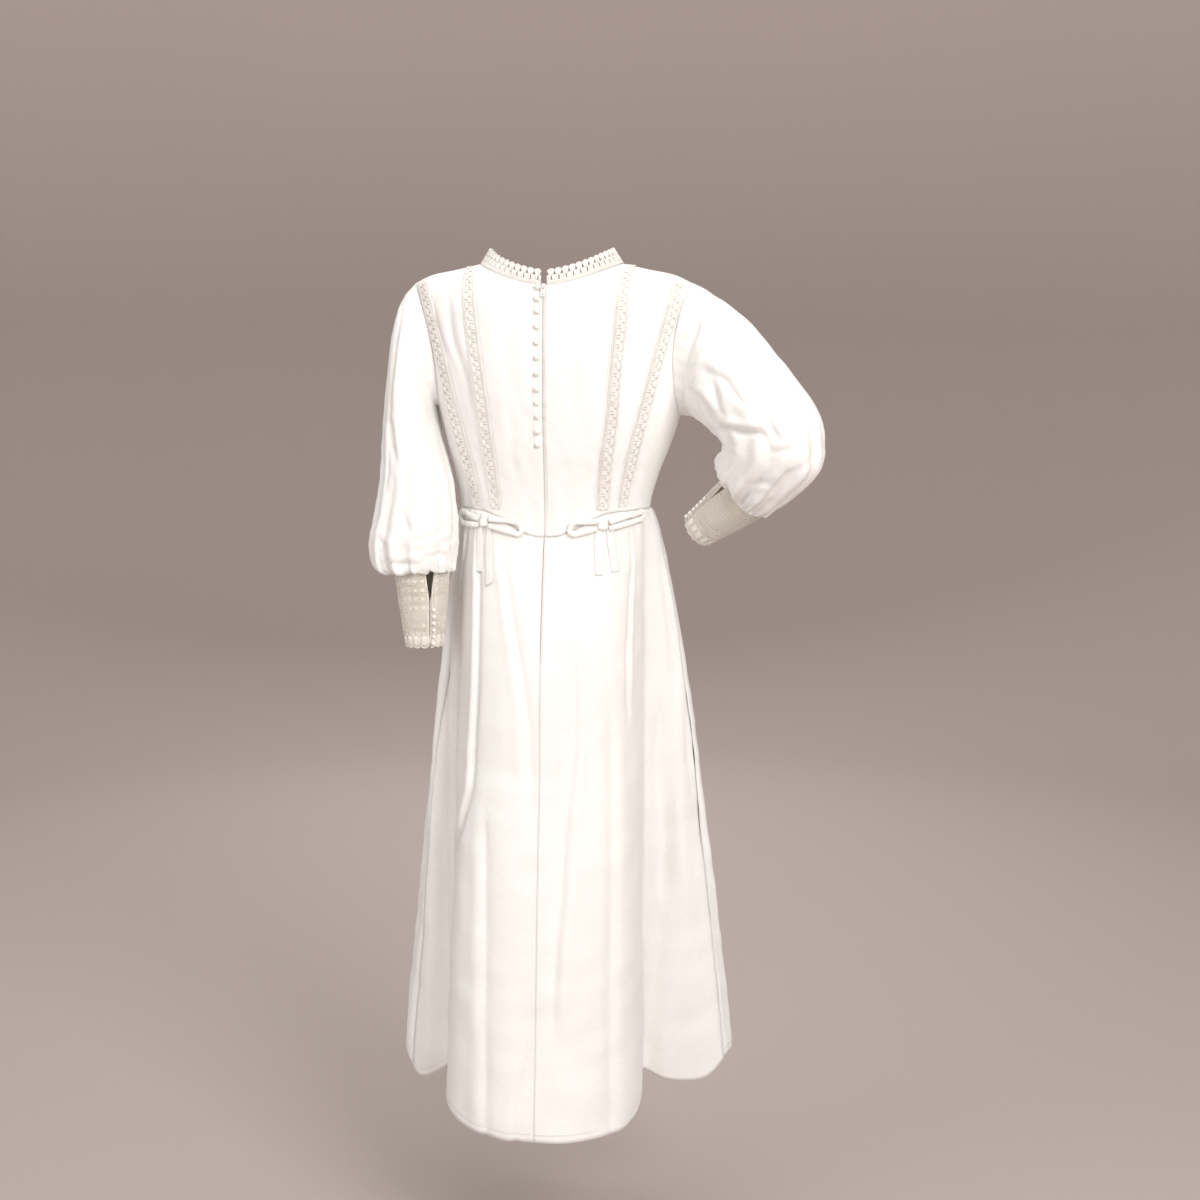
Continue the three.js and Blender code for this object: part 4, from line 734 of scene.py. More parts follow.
def crochet_yarn(name, light, shade):
    """Mercerised cotton: plies twisted along each thread, and painted shade in the colour, darker in
    the grooves between the plies and lighter on their crests.
    """
    paint = Paint(name, Sheen_Weight=0.3, Sheen_Roughness=0.4, Specular_IOR_Level=0.3)
    flat = paint.lengths()
    u, v, _ = paint.split(flat)
    plies = (u * (2 * math.pi / 0.0011) + v * (2 * math.pi / 0.0012)).sine()
    fuzz = paint.noise(paint.place(), 900.0, 3)
    # Painted shade: the plies' sine lightens the colour on each ply's crest and darkens it in the
    # grooves between plies
    tone = paint.noise(paint.place(), 45.0, 4) * 0.55 + fuzz * 0.3 + plies * 0.06
    colour = paint.ramp(tone, ((0.25, shade), (0.6, light)))
    rough = 0.66 + fuzz * 0.22
    return paint.finish(colour, rough, plies * 0.6 + fuzz * 0.8, 0.0003, 0.35)


def button_cloth():
    """Satin-covered ball: a smooth cloth, pleated toward the shank, with soft tone."""
    paint = Paint("covered_button", Sheen_Weight=0.15, Coat_Roughness=0.4, Specular_IOR_Level=0.4)
    flat = paint.lengths()
    u, _, _ = paint.split(flat)
    pleats = (u * (2 * math.pi / 0.0016)).sine() * paint.noise(flat, 300.0)
    tone = paint.noise(paint.place(), 240.0, 3)
    colour = paint.ramp(tone, ((0.3, (0.82, 0.78, 0.72)), (0.65, (0.93, 0.91, 0.87))))
    return paint.finish(colour, 0.42 + tone * 0.2, pleats + tone, 0.0002, 0.6)


def zip_nylon():
    """Moulded white nylon with fine scuffs and soft wear on its tone."""
    paint = Paint("zip_nylon", Specular_IOR_Level=0.5)
    grain = paint.noise(paint.place(), 1400.0, 3)
    scuffs = paint.noise(paint.place((900, 120, 120)), 1.0, 4)
    colour = paint.ramp(grain * 0.5 + scuffs * 0.5,
                        ((0.3, (0.62, 0.6, 0.56)), (0.6, (0.84, 0.83, 0.8))))
    return paint.finish(colour, 0.34 + scuffs * 0.25, grain + scuffs, 0.00012, 0.5)


def studio_paper():
    """Matt greige paper with a faint tooth, and painted shade: coloured darker toward the floor to
    even out the stronger light that falls there.
    """
    paint = Paint("studio_paper", Roughness=0.95, Specular_IOR_Level=0.1)
    tooth = paint.noise(paint.place(), 60.0, 4)
    # Painted shade: the colour darkens with lower height, so the floor, which takes more light,
    # matches the wall
    height = paint.split(paint.place())[2]
    broad = height * 0.35 + paint.noise(paint.place(), 0.8, 2) * 0.1
    colour = paint.ramp(broad, ((0.0, (0.43, 0.372, 0.342)), (0.4, (0.53, 0.456, 0.42))))
    return paint.finish(colour, 0.9 + tooth * 0.08, tooth, 0.0003, 0.3)


WHITE_CLOTH = woven_cloth("white_crepe", (0.93, 0.918, 0.895), (0.87, 0.855, 0.83))
TIE_CLOTH = woven_cloth("tie_crepe", (0.92, 0.90, 0.865), (0.85, 0.825, 0.785))
# Stitching thread in taupe, far darker than the cloth: the stitches are real, and their dark colour
# is painted shade along seams and edges
THREAD_AND_SEAM_SHADE = woven_cloth("thread_and_painted_seam_shade", (0.66, 0.61, 0.55), (0.54, 0.49, 0.43))
LACE_YARN = crochet_yarn("cotton_yarn", (0.95, 0.925, 0.88), (0.84, 0.8, 0.74))
CUFF_YARN = crochet_yarn("cuff_yarn", (0.94, 0.905, 0.84), (0.81, 0.76, 0.68))
BUTTON_FINISH, ZIP_FINISH = button_cloth(), zip_nylon()


# Cloth panels


def panel(node, points, away, closed=False):
    """A cloth panel in place of its node."""
    piece = Stock().put(*shell(points, CLOTH, away, closed)).make(
        node + "_cloth", WHITE_CLOTH, "woven_cloth", (node,))


def level_away(points):
    """Directions from the dress's upright middle line."""
    return points * np.array([1, 1, 0])


def bodice_grid(side, face, rows, columns):
    """A bodice half: rows up from the waist and columns out from the centre."""
    i = np.linspace(0, ROWS, rows)[:, None] + np.zeros(columns)
    j = np.linspace(0, COLUMNS, columns) + 0 * i
    return bodice_points(side, face, i, j)


for hand, side in (("left", 1), ("right", -1)):
    half = bodice_grid(side, "back", *BODICE_BACK_GRID)
    panel(f"bodice_back_{hand}", half, level_away(half))

front = np.concatenate([bodice_grid(-1, "front", *BODICE_FRONT_GRID)[:, ::-1],
                        bodice_grid(1, "front", *BODICE_FRONT_GRID)], 1)
panel("bodice_front", front, level_away(front))


def skirt_grid(start, end, rows, columns):
    """A skirt panel between two angles in degrees, rows down from the waist to the hem."""
    share = np.linspace(0, 1, rows)[:, None] + np.zeros(columns)
    closing = ease((share - SEAM_START) / SEAM_RUN)
    first, last = (a * np.where(np.abs(a) < 1, 1 - closing, 1) for a in (start, end))
    angle = np.radians(mix(first, last, np.linspace(0, 1, columns)))
    return skirt_points(angle, share)


for node, start, end, columns, rests in (
        ("skirt_back_left", 0.06, 89.9, 102, "bodice_back_left"),
        ("skirt_back_right", -89.9, -0.06, 102, "bodice_back_right"),
        ("skirt_front", 90, 270, 132, "bodice_front")):
    grid = skirt_grid(start, end, SKIRT_ROWS, columns)
    panel(node, grid, level_away(grid))


# Sleeves and cuffs

def arm_point(side, out, back, z, turn):
    """A point beside the shoulder tip, out along the arm's turned direction."""
    angle = math.radians(turn)
    return np.array([side * (SHOULDER_TIP + out * math.cos(angle)),
                     back + out * math.sin(angle), z])


def arm_across(side, turn):
    """The level direction across the arm."""
    return np.array([-side * math.sin(math.radians(turn)), math.cos(math.radians(turn)), 0])


class Cuff:
    """A cuff's middle line and cross directions, and points on its cone. Angle 0 faces the
    body, and a quarter turn faces back."""

    def __init__(self, side):
        top, wrist, turn = CUFF_ENDS[side]
        self.top, self.wrist = arm_point(side, *top, turn), arm_point(side, *wrist, turn)
        self.length = np.linalg.norm(self.wrist - self.top)
        self.axis = (self.wrist - self.top) / self.length
        deep = arm_across(side, turn)
        self.deep = unit(deep - self.axis * (deep @ self.axis))
        self.across = unit(np.cross(self.axis, self.deep) * side)

    def point(self, angle, share, rise):
        """A point at an angle, a share of the length and a height over the cone."""
        angle, share, rise = np.broadcast_arrays(angle, share, rise)
        wide = mix(CUFF_TOP[0], CUFF_WRIST[0], share) + rise
        deep = mix(CUFF_TOP[1], CUFF_WRIST[1], share) + rise
        middle = self.top + (self.wrist - self.top) * share[..., None]
        return (middle - self.across * (np.cos(angle) * wide)[..., None]
                + self.deep * (np.sin(angle) * deep)[..., None])


def clear_of_body(side, points, clearance):
    """Moves points of a sleeve out sideways until they are clear of the bodice or skirt."""
    x, y, z = np.moveaxis(points, -1, 0)
    half, depth = half_of[side](z), depth_of["back"](z)
    share = np.clip(np.abs(y) / depth, 0, 1)
    body = half * (1 - share ** BOXINESS) ** (1 / BOXINESS)
    angle = np.arctan2(x, y)
    low = (z - WAIST_SIDE) / (hem_height(np.degrees(angle)) - WAIST_SIDE)
    form = skirt_form(angle, np.clip(low, 0, 1))
    reach = np.hypot(form[..., 0], form[..., 1]) / np.maximum(np.hypot(x, y), 1)
    limit = np.where(z >= WAIST_SIDE, body, np.abs(x) * reach) + clearance
    near = (np.abs(x) < limit) & (z < UNDERARM[side])
    points[..., 0] = np.where(near, side * limit, x)
    return points


def sleeve_grid(side, rows, columns):
    """A bishop sleeve: rings from the armhole to the cuff by smooth cubics through the key
    rings, with lobes of gathers that deepen toward the cuff, and listed folds."""
    theta = 2 * math.pi * np.arange(columns) / columns
    back = theta <= math.pi
    step = np.where(back, theta, 2 * math.pi - theta) / math.pi
    i = ROWS_LOW + ROWS_ARM * step
    edge = np.full_like(i, COLUMNS)
    loop = np.where(back[:, None], bodice_points(side, "back", i, edge),
                    bodice_points(side, "front", i, edge))
    loop[:, 0] += side * SEAM
    loop[:, 1] *= np.abs(loop[:, 1]) > SEAM
    keys, middles = [loop], [loop.mean(0)]
    for r, (in_out, in_z, out_out, out_z, y, half, turn) in enumerate(SLEEVES[side]):
        inside = arm_point(side, in_out, y, in_z, turn)
        outside = arm_point(side, out_out, y, out_z, turn)
        centre = (inside + outside) / 2
        lobes = 1 + GATHER_DEPTHS[r + 1] * np.cos(GATHERS * theta) / half
        ring = (centre + np.outer(np.cos(theta) * lobes, inside - centre)
                + np.outer(np.sin(theta) * lobes, arm_across(side, turn)) * half)
        keys.append(ring)
        middles.append(centre)
    cuff = Cuff(side)
    seam = ((np.outer(np.cos(theta), -cuff.across) * (CUFF_TOP[0] + SEAM)
             + np.outer(np.sin(theta), cuff.deep) * (CUFF_TOP[1] + SEAM))
            + cuff.top - cuff.axis * SEAM)
    keys.append(seam)
    middles.append(seam.mean(0))
    points = smooth_rows(np.array(keys), rows)
    away = points - smooth_rows(np.array(middles), rows)[:, None]
    normal = grid_normals(points, True)
    normal *= np.sign(np.sum(normal * away))
    v = np.linspace(0, 1, rows)[:, None] + 0 * theta
    seams = ease(v / 0.05) * ease((1 - v) / 0.03)
    facing = ease((normal[..., 1] + 0.15) / 0.4)
    folds = crease_lines(points[..., 0], points[..., 2], SLEEVE_CREASES[side]) * facing
    full = ease((v - 0.55) / 0.42)
    lobes = (1.9 * np.cos(27 * theta + 2.5 * np.sin(3 * theta) + 1.2 * v)
             + 1.2 * np.cos(43 * theta + 3 * np.sin(2 * theta))) * full ** 2
    bottom = 2.4 * full ** 2 * np.cos(13 * theta + 1.5 * np.sin(2 * theta) + 2 * v)
    head = 1.3 * np.cos(31 * theta + 2 * np.sin(3 * theta)) * np.exp(-v / 0.06)
    round_x, round_y = 70 * np.cos(theta), 70 * np.sin(theta)
    loose = 1.7 * soft_noise(round_x + 0 * v, round_y + 480 * v, 95, 21 + side)
    fine = 0.6 * soft_noise(round_x + 300 * v, round_y + 500 * v, 34, 25 + side)
    height = (folds + lobes + bottom + head + loose + fine) * seams
    points = points + normal * height[..., None]
    return clear_of_body(side, points, 3 + CLOTH), away


cuffs = {}
for hand, side in (("left", 1), ("right", -1)):
    grid, away = sleeve_grid(side, *SLEEVE_GRID)
    panel(f"sleeve_{hand}", grid, away, True)
    cuffs[hand] = Cuff(side)


# Crochet: yarns are drawn flat, as paths of length, breadth and height, then laid in place

def yarns(flat, place, radius):
    """Rods of yarn along flat paths once they are laid on their surface."""
    points, normals = place(*np.moveaxis(flat, -1, 0))
    return rods(points, normals, radius, radius * YARN_FLATNESS, YARN_SIDES)


def plies(length, breadth, height, pitch=2.6, sway=0.5, step=0.65):
    """Two plies that cross over each other along a line: sine waves half a turn apart. breadth is
    a number or a function of the length."""
    s = np.linspace(0, length, int(length / step))
    middle = breadth(s) if callable(breadth) else np.full_like(s, breadth)
    turn = 2 * math.pi * s / pitch + np.array([[0], [math.pi]])
    return np.stack([s + 0 * turn, middle + sway * np.sin(turn), height + 0.35 * np.cos(turn)], -1)


def posts(starts, ends, height, bulge=0.35, steps=4):
    """Straight stitches between two rows of points, raised in their middles by a half sine."""
    f = np.linspace(0, 1, steps)
    flat = starts[:, None] + (ends - starts)[:, None] * f[:, None]
    rise = height + bulge * np.sin(math.pi * f) + np.zeros(len(starts))[:, None]
    return np.concatenate([flat, rise[..., None]], -1)


def scalloped(offsets, pitch, low, high):
    """Breadth of a scalloped edge: a half ellipse over each scallop."""
    x = 2 * offsets / (pitch * 1.06)
    return low + (high - low) * np.sqrt(np.clip(1 - x * x, 0, 1))


def lace(length, shells, low, middle, high, height):
    """An edging worked in rows: a foundation, short posts, a band with one large and one small
    hole to each shell, then fans of posts under a scalloped cord. Gives flat paths and radii."""
    pitch = length / shells
    centres = (np.arange(shells) + 0.5) * pitch
    scale = pitch / 12

    def across(offsets, near, far, lean=1.0):
        """Flat ends of posts at offsets from each shell's middle, between two breadths."""
        offsets = np.array(offsets, float)
        level = 0 * centres[:, None] * offsets
        starts = np.stack([centres[:, None] + offsets * scale * lean, near + level], -1)
        ends = np.stack([centres[:, None] + offsets * scale, far + level], -1)
        return starts.reshape(-1, 2), ends.reshape(-1, 2)

    rim_low = mix(middle, high, 0.42)
    fan = np.linspace(-5.2, 5.2, 7)
    rim = scalloped(fan * scale, pitch, rim_low, high - 0.7)
    depth = middle - low

    def edge(s):
        """Breadth of the scalloped cord at a length."""
        return scalloped((s % pitch) - pitch / 2, pitch, rim_low, high - 0.5)

    cords = (
        (plies(length, 0.8, height), 0.62), (plies(length, low, height), 0.6),
        (plies(length, middle, height), 0.6),
        (plies(length, edge, height + 0.2, 2.6, 0.4), 0.75))
    return cords, (
        (posts(*across((-5, -3, -1, 1, 3, 5), 0.9, low), height - 0.2), 0.96),
        (posts(*across((-5.3, -4.1, -2.9, 0.9, 2.1, 4.5, 5.6), low, middle), height - 0.1), 0.9),
        (posts(*across((3.3,), low, low + 0.32 * depth), height - 0.1), 0.6),
        (posts(*across((3.3,), middle - 0.3 * depth, middle), height - 0.1), 0.6),
        (posts(*across(fan, middle, rim, 0.45), height - 0.1), 0.92),
    )


def edging(node, place, cords, stitches, flat, held, rests_on):
    """An edging in place of its node: its stitches take the node's place, and its cords lie with
    them.
    """
    for name, paths, nodes in ((node + "_cords", cords, ()), (node + "_lace", stitches, (node,))):
        stock = Stock()
        for path, radius in paths:
            stock.put(*yarns(path, place, radius))
        stock.make(name, LACE_YARN, "crochet", nodes)


def strip_place(side, table):
    """Lays a strip on the bodice: length runs up the strip, breadth from the sewn edge out."""
    free, sewn = along(table, 1), along(table, 2)
    heights = np.linspace(table[0, 0], table[-1, 0], 200)
    x = side * (free(heights) + sewn(heights)) / 2
    middle, _ = cloth_seat(x, heights, 0.0)
    run = running(middle)

    def place(s, t, h):
        z = np.interp(s, run, heights)
        reach = mix(sewn(z), free(z), t / STRIP_BREADTH)
        return cloth_seat(side * reach, z, h)

    return place, run[-1]


for name, (side, shells, table) in STRIPS.items():
    place, length = strip_place(side, table)
    breadth = float(np.mean(table[:, 1] - table[:, 2])) * 1.06 * MM
    edging(name, place, *lace(length, shells, STRIP_LOW, STRIP_MIDDLE, STRIP_BREADTH, 1.0),
           (round(breadth, 4), round(length * MM, 3)), "laid",
           ["bodice_back_left" if side > 0 else "bodice_back_right"])


def neck_line():
    """The neck edge from the centre back's left over the front to its right: points, and how
    far the collar leans in. Widths follow sines of an even angle."""
    start = math.asin(COLLAR["notch"] / NECK_HALF)
    back = np.linspace(start, math.pi / 2, 160)
    parts = []
    for side, face, turn in (
            (1, "back", back), (1, "front", np.linspace(math.pi / 2, 0, 160)),
            (-1, "front", np.linspace(0, math.pi / 2, 160)), (-1, "back", back[::-1])):
        x = NECK_HALF * np.sin(turn)
        drop, bow = NECK[face]
        z = drop * ((x / NECK_HALF) ** bow - 1)
        y = torso_depth(side, face, x, z) * (1 if face == "back" else -1)
        lean = mix(COLLAR[face], COLLAR["side"], (x / NECK_HALF) ** 2)
        parts.append(np.stack([side * x, y, z + SEAM, lean], -1))
    line = np.concatenate(parts)
    keep = np.concatenate([[True], np.linalg.norm(np.diff(line[:, :3], axis=0), axis=-1) > 1e-6])
    return line[keep]


def collar_place(line):
    """Lays the collar: up from the neck edge, leaning in with the height."""
    run = running(line[:, :3])
    away = unit(line[:, :3] * np.array([1, 1, 0]))

    def place(s, t, h):
        foot = np.stack([np.interp(s, run, line[:, k]) for k in range(3)], -1)
        out = unit(np.stack([np.interp(s, run, away[:, k]) for k in range(3)], -1))
        lean = np.interp(s, run, line[:, 3])
        share = t / COLLAR["height"]
        rise = np.stack([0 * share, 0 * share, share * COLLAR["height"]], -1)
        point = foot + rise + out * (h - lean * share)[..., None]
        return point, out

    return place, run[-1]


place, length = collar_place(neck_line())
edging("collar", place,
       *lace(length, COLLAR["shells"], COLLAR_LOW, COLLAR_MIDDLE, COLLAR["height"], -0.9),
       (round(length * MM, 3), COLLAR["height"] * MM), "hung",
       ["bodice_back_left", "bodice_back_right", "bodice_front"])


def slit_half(share):
    """Half the slit's width in angle: it narrows from the cuff's top to its closed part."""
    wide = mix(SLIT_WIDE, SLIT_NARROW, np.clip(share / SLIT_CLOSED, 0, 1))
    return wide / 2 / mix(*CUFF_MEAN_RADII, share)


def cuff_ground(cuff):
    """The cuff's ground from one edge of the slit round to the other, down to the wrist."""
    rows, columns = CUFF_GRID
    share = np.linspace(0, 1, rows)[:, None] + np.zeros(columns)
    half = slit_half(share)
    start = math.radians(SLIT_ANGLE) + half
    angle = start + (2 * math.pi - 2 * half) * np.linspace(0, 1, columns)
    return cuff.point(angle, share * 0.965, -0.9)


def cuff_stitches(cuff, rosettes):
    """Flat paths of a cuff: rounds of short chain stitches with posts between them, rosettes of
    rings and petals in place of both, and fans along the wrist."""
    slit = math.radians(SLIT_ANGLE) * CUFF_GIRTH
    around = 2 * math.pi * CUFF_GIRTH

    def kept(s, t, reach):
        """Whether a stitch is clear of the rosettes and the slit."""
        away = np.ones(s.shape, bool)
        for angle, at in rosettes:
            gap = (s - angle * CUFF_GIRTH + around / 2) % around - around / 2
            away &= np.hypot(gap, t - at) > reach
        gap = np.abs((s - slit + around / 2) % around - around / 2) / CUFF_GIRTH
        return away & (gap > slit_half(t / cuff.length) + 0.02)

    spacing = around / ROUND_STITCHES
    s, rows = np.meshgrid((np.arange(ROUND_STITCHES) + 0.5) * around / ROUND_STITCHES,
                          np.arange(ROUNDS), indexing="ij")
    t = ROUND_FIRST + ROUND_PITCH * rows
    s, t = s.ravel(), t.ravel()
    stitch = spacing / 2
    chain = kept(s, t, ROSETTE_REACH)
    beads = posts(np.stack([s - stitch, t - 0.3], -1)[chain],
                  np.stack([s + stitch, t + 0.3], -1)[chain], 0.35, 0.5)
    last_round = ROUND_FIRST + ROUND_PITCH * (ROUNDS - 1)
    between = kept(s, t + ROUND_PITCH / 2, ROSETTE_REACH + 0.6) & (t < last_round)
    eyelets = ((np.round(s / spacing).astype(int) % 4 == 0)
               & (np.round(t / ROUND_PITCH).astype(int) % 2 == 1))
    between &= ~eyelets
    uprights = posts(np.stack([s, t + 0.5], -1)[between],
                     np.stack([s + 0.5, t + ROUND_PITCH - 0.5], -1)[between], 0.1)
    paths = [(beads, 0.85), (uprights, 0.82)]

    fans = CUFF_SCALLOPS * 7
    angle = (np.arange(fans) + 0.5) / fans * around
    pitch = around / CUFF_SCALLOPS
    offset = (angle % pitch) - pitch / 2
    start = last_round + 1
    rim = scalloped(offset, pitch, cuff.length - 6, cuff.length - 1)
    clear = kept(angle, rim, 0)
    paths.append((posts(np.stack([angle - offset * 0.5, 0 * angle + start], -1)[clear],
                        np.stack([angle, rim], -1)[clear], 0.2), 0.95))
    s = np.linspace(0, around, WRIST_STEPS)
    edge = scalloped((s % pitch) - pitch / 2, pitch, cuff.length - 6, cuff.length - 0.9)
    clear = kept(s, edge, 0)
    after = np.roll(np.stack([s, edge], -1), -1, 0)
    paths.append((posts(np.stack([s, edge], -1)[clear][:-1], after[clear][:-1], 0.3, 0.25, 3), 0.9))

    for angle, at in rosettes:
        centre = np.array([angle * CUFF_GIRTH, at])
        for radius, size, rise, sway in ROSETTE_RINGS:
            turn = np.linspace(0, 2 * math.pi, 49 if radius > 2 else 17)
            wide = radius + sway * np.cos(turn * 14)
            ring = np.stack([centre[0] + wide * np.cos(turn), centre[1] + wide * np.sin(turn)], -1)
            paths.append((posts(ring[:-1], ring[1:], rise, 0.15, 3), size))
        turn = np.arange(14) / 14 * 2 * math.pi
        spoke = np.stack([np.cos(turn), np.sin(turn)], -1)
        paths.append((posts(centre + spoke * 4.6, centre + spoke * 6.6, 0.7), 0.7))
        paths.append((posts(centre + spoke * 7.5, centre + spoke * 10.6, 0.5), 1.0))
    return paths


for hand, cuff in cuffs.items():
    def place(s, t, h, cuff=cuff):
        """Lays a cuff's stitches on its cone."""
        point = cuff.point(s / CUFF_GIRTH, t / cuff.length, h)
        return point, unit(point - cuff.point(s / CUFF_GIRTH, t / cuff.length, h - 1))

    stock = Stock()
    for flat, radius in cuff_stitches(cuff, ROSETTES[hand]):
        stock.put(*yarns(flat, place, radius * 0.85))
    stitches = stock.make(f"cuff_{hand}_stitches", CUFF_YARN, "crochet")
    ground = cuff_ground(cuff)
    base = Stock().put(*shell(ground, 1.0, ground - (cuff.top + cuff.wrist) / 2)).make(
        f"cuff_{hand}_ground", CUFF_YARN, "crochet", (f"cuff_{hand}",))


# Buttons, ties, zip and stitching

def balls(seats, normals, radius):
    """Covered balls: rods along the normals whose radius follows a circle, a little flattened."""
    phi = np.radians(np.linspace(8, 172, 13))
    stand = radius * BUTTON_FLAT
    along_normal = BUTTON_LIFT + stand - stand * np.cos(phi)
    paths = seats[:, None] + normals[:, None] * along_normal[:, None]
    up = np.broadcast_to(np.array([0.0, 0.0, 1.0]), paths.shape)
    return rods(paths, up, radius * np.sin(phi), radius * np.sin(phi), 18)


heights = np.array(BUTTON_HEIGHTS, float)
seats, normals = cloth_seat(np.full_like(heights, BUTTON_X), heights, 0.0)
Stock().put(*balls(seats, normals, BUTTON_RADIUS)).make(
    "back_buttons", BUTTON_FINISH, "ball_buttons",
    [f"back_button_{n + 1}" for n in range(len(heights))])

turn = np.radians(np.linspace(-100, 100, 13))
loops = [cloth_seat(BUTTON_X - 1.5 + 4.4 * np.cos(turn), z + 4.2 * np.sin(turn), 0.7)
         for z in heights]
loop_points, loop_normals = (np.array(part) for part in zip(*loops))
Stock().put(*rods(loop_points, loop_normals, 0.55, 0.5)).make("button_loops", LACE_YARN, "crochet")

for hand, cuff in cuffs.items():
    share = np.linspace(CUFF_BUTTON["from"], CUFF_BUTTON["to"], CUFF_BUTTON["count"])
    wide = mix(CUFF_TOP[0], CUFF_WRIST[0], share)
    opening = mix(SLIT_WIDE, SLIT_NARROW, np.clip(share / SLIT_CLOSED, 0, 1))
    gap = opening / 2 + CUFF_BUTTON["beside"]
    angle = math.radians(SLIT_ANGLE) - gap / wide
    seats = cuff.point(angle, share, 0.4)
    normals = unit(seats - cuff.top - (cuff.wrist - cuff.top) * share[:, None])
    Stock().put(*balls(seats, normals, CUFF_BUTTON["radius"])).make(
        f"cuff_{hand}_buttons", BUTTON_FINISH, "ball_buttons",
        [f"cuff_button_{hand}_{n + 1}" for n in range(CUFF_BUTTON["count"])])


def tie_piece(name, x, z, wide, thick, layer, cut=0.0):
    """A tie: a flattened tube along a line on the cloth, with soft pulls along its width."""
    points, normals = cloth_seat(x, z, layer + np.max(thick), TIE_FEEL)
    f = np.linspace(0, 1, len(x))
    wide = wide * (1 + 0.05 * np.sin(23 * f) + 0.04 * np.sin(57 * f + 1))
    piece = Stock().put(*rods(points[None], normals[None], wide, thick, TIE_SIDES, 0.85, cut)).make(
        name + "_cloth", TIE_CLOTH, "woven_cloth", (name,))
    return piece, float(running(points)[-1])


def loop_line(knot, loop):
    """A bow loop: out along one limb, round a half circle and back along the other."""
    toward, reach, drop, radius = loop
    root = knot[0] + toward * (KNOT_WIDE / 2 + TIE_GAP)
    straight = reach - radius
    f = np.linspace(0, 1, 16)
    turn = math.pi * (0.5 - np.linspace(0, 1, 20))
    out = np.concatenate([straight * f, straight + radius * np.cos(turn[1:-1]), straight * f[::-1]])
    rise = np.concatenate([mix(TIE_ROOT, radius, f), radius * np.sin(turn[1:-1]),
                           -mix(TIE_ROOT, radius, f[::-1])])
    return root + toward * out, knot[1] - drop * out / reach + rise


for hand, (knot, loops, tails) in BOWS.items():
    rests = [f"bodice_back_{hand}", f"skirt_back_{hand}"]
    for place_name, loop in loops.items():
        x, z = loop_line(knot, loop)
        piece, length = tie_piece(
            f"tie_loop_{hand}_{place_name}", x, z, TIE_WIDE / 2, TIE_THICK / 2, TIE_LAYER)
        round(length * MM, 3)
    for place_name, (slant, fall, shift, cut) in tails.items():
        f = np.linspace(0, 1, 40)
        wide = mix(4.4, TAIL_WIDE / 2, ease(f / 0.4))
        x, z = knot[0] + shift + slant * f + 0.6 * np.sin(5 * f), knot[1] - fall * f
        piece, length = tie_piece(
            f"tie_tail_{hand}_{place_name}", x, z, wide, TAIL_THICK / 2, TIE_LIFT, cut)
        round(length * MM, 3)
    f = np.linspace(-1, 1, 25)
    x, z = knot[0] + 0 * f, knot[1] + KNOT_TALL / 2 * f
    points, normals = cloth_seat(x, z, TIE_LIFT + KNOT_THICK / 2, TIE_FEEL)
    round_off = (1 - np.abs(f * 0.985) ** 3.5) ** (1 / 2.2)
    folds = 1 + 0.08 * np.sin(9 * f + 0.6)
    Stock().put(*rods(points[None], normals[None], KNOT_WIDE / 2 * round_off * folds,
                      KNOT_THICK / 2 * round_off, 20, 0.8)).make(
        f"tie_knot_{hand}_cloth", TIE_CLOTH, "woven_cloth", (f"tie_knot_{hand}",))


for name, width in (("zip_chain", 0.0002), ("zip_slider", 0.0004), ("zip_pull", 0.0004)):
    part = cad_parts[name]
    part.modifiers.new("weld", "WELD").merge_threshold = 0.00001
    edge = part.modifiers.new("edges", "BEVEL")
    edge.width, edge.segments, edge.limit_method = width, 2, "ANGLE"
    for slot in part.material_slots:
        slot.material = ZIP_FINISH


def stitched(points, normals, pitch=3.4, dash=2.3):
    """A row of sewn dashes along a line: short flat rods, set off by their pitch."""
    run = running(points)
    starts = np.arange(pitch, run[-1] - pitch, pitch)
    at = starts[:, None] + np.array([0, dash / 2, dash])
    paths = np.stack([np.interp(at, run, points[:, k]) for k in range(3)], -1)
    facing = unit(np.stack([np.interp(at, run, normals[:, k]) for k in range(3)], -1))
    paths[:, [0, 2]] -= facing[:, [0, 2]] * 0.15
    return rods(paths, facing, 0.3, 0.2, 4)


def back_line(x, z, lift=0.25):
    """A line over the back's cloth through a few points of x and z."""
    f = np.linspace(0, 1, 160)
    spread = np.linspace(0, 1, len(x))
    return cloth_seat(np.interp(f, spread, x), np.interp(f, spread, z), lift)


# Rows of real stitches whose taupe colour is painted shade: dark lines along the strips' sewn edges,
# beside the back opening, down the seam, round the neck and round the hem
stock = Stock()
for name, (side, _, table) in STRIPS.items():
    z = np.linspace(table[0, 0] + 2, table[-1, 0] - 6, 60)
    stock.put(*stitched(*cloth_seat(side * (along(table, 2)(z) - 2.4), z, 0.25)))
stock.put(*stitched(*back_line((-4, -4.4, -4.4, -4), (-38, -180, -300, -380))))
stock.put(*stitched(*back_line((13.5, 13.5, 13, 12), (-40, -150, -230, -262))))
stock.put(*stitched(*back_line((-3, -3, -3), (-396, -470, -545))))
for side in (1, -1):
    x = np.linspace(8, 96, 60)
    z = NECK["back"][0] * ((x / NECK_HALF) ** NECK["back"][1] - 1) - 4.5
    stock.put(*stitched(*cloth_seat(side * x, z, 0.25)))
angle = np.radians(np.linspace(0, 360, 700))
line, lower = (skirt_points(angle, np.full_like(angle, share)) for share in (0.987, 0.975))
facing = unit(np.cross(np.gradient(line, axis=0), lower - line))
facing *= np.sign(np.sum(facing * line * np.array([1, 1, 0]), -1, keepdims=True))
stock.put(*stitched(line + facing * 0.25, facing))
stock.make("stitching", THREAD_AND_SEAM_SHADE, "woven_cloth")


# Studio

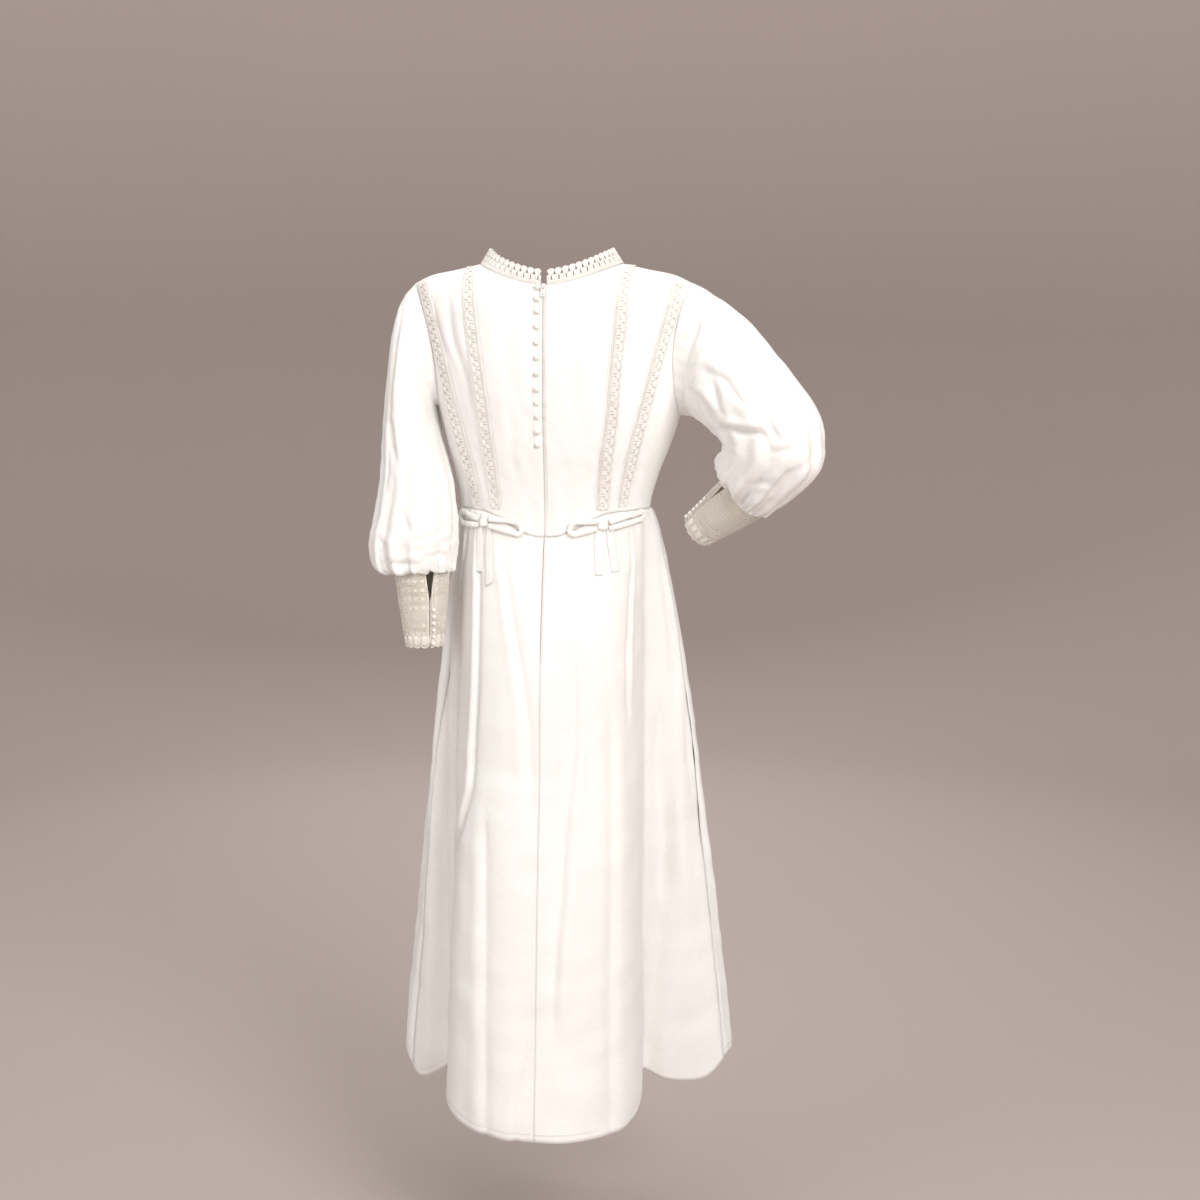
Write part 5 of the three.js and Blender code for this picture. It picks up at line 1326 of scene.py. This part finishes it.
def backdrop():
    """A bowl of paper: level floor under the hem that turns up smoothly into a round wall.
    The radius grows with the row, and the height follows a quarter circle past the floor."""
    floor, start, wall = -1.48, 3.2, 4.6
    row = np.linspace(0, 1, 60)[:, None]
    angle = np.linspace(0, 2 * math.pi, 97)
    flat = row * 3
    turn = np.clip(flat - 1, 0, 1) * math.pi / 2
    rise = np.clip(flat - 2, 0, 1)
    radius = np.minimum(flat, 1) * start + np.sin(turn) * (wall - start)
    height = floor + (1 - np.cos(turn)) * (wall - start) + rise * 3.4
    points = np.stack([radius * np.cos(angle), radius * np.sin(angle), height + 0 * angle], -1)
    rows, columns = points.shape[:2]
    i, j = np.mgrid[0:rows - 1, 0:columns - 1]
    corner = i * columns + j
    faces = np.stack([corner, corner + columns, corner + columns + 1, corner + 1], -1)
    faces = faces.reshape(-1, 4)
    mesh = bpy.data.meshes.new("studio_backdrop")
    mesh.from_pydata(points.reshape(-1, 3).tolist(), [], faces.tolist())
    mesh.polygons.foreach_set("use_smooth", np.ones(len(faces), bool))
    mesh.materials.append(studio_paper())
    paper = bpy.data.objects.new("studio_backdrop", mesh)
    bpy.context.scene.collection.objects.link(paper)


def aim(thing, place, target):
    """Places a camera or light and points it at a target."""
    thing.location = place
    thing.rotation_euler = (Vector(target) - Vector(place)).to_track_quat("-Z", "Y").to_euler()


def soft_light(name, place, target, size, power, colour):
    """A square area light, aimed at a target."""
    lamp = bpy.data.lights.new(name, "AREA")
    lamp.shape, lamp.size, lamp.energy, lamp.color = "SQUARE", size, power, colour
    light = bpy.data.objects.new(name, lamp)
    bpy.context.scene.collection.objects.link(light)
    aim(light, place, target)


backdrop()
soft_light("key_light", (-1.9, 2.7, 1.2), (0, 0, -0.5), 1.5, 92, (1, 0.99, 0.975))
soft_light("fill_light", (2.6, 2.4, 0.5), (0, 0, -0.6), 2.2, 32, (0.96, 0.98, 1))
soft_light("low_light", (0.2, 2.9, -0.8), (0, 0, -0.5), 1.8, 12, (1, 0.995, 0.985))
soft_light("top_light", (0, 0.2, 2.6), (0, 0, -0.6), 2.6, 22, (1, 1, 1))
soft_light("front_light", (0.6, -3.0, 0.8), (0, 0, -0.5), 2.4, 40, (0.98, 0.99, 1))

world = bpy.data.worlds.new("studio_air")
world.use_nodes = True
air = world.node_tree.nodes["Background"].inputs
air["Color"].default_value, air["Strength"].default_value = (1, 0.995, 0.99, 1), 0.79
bpy.context.scene.world = world

lens = bpy.data.cameras.new("studio_camera")
lens.lens, lens.sensor_width, lens.clip_end = CAMERA_LENS, 36, 60
camera = bpy.data.objects.new("studio_camera", lens)
bpy.context.scene.collection.objects.link(camera)
aim(camera, CAMERA_PLACE, CAMERA_TARGET)
bpy.context.scene.camera = camera
bpy.context.scene.view_settings.view_transform = "Standard"
bpy.context.scene.view_settings.look = "None"
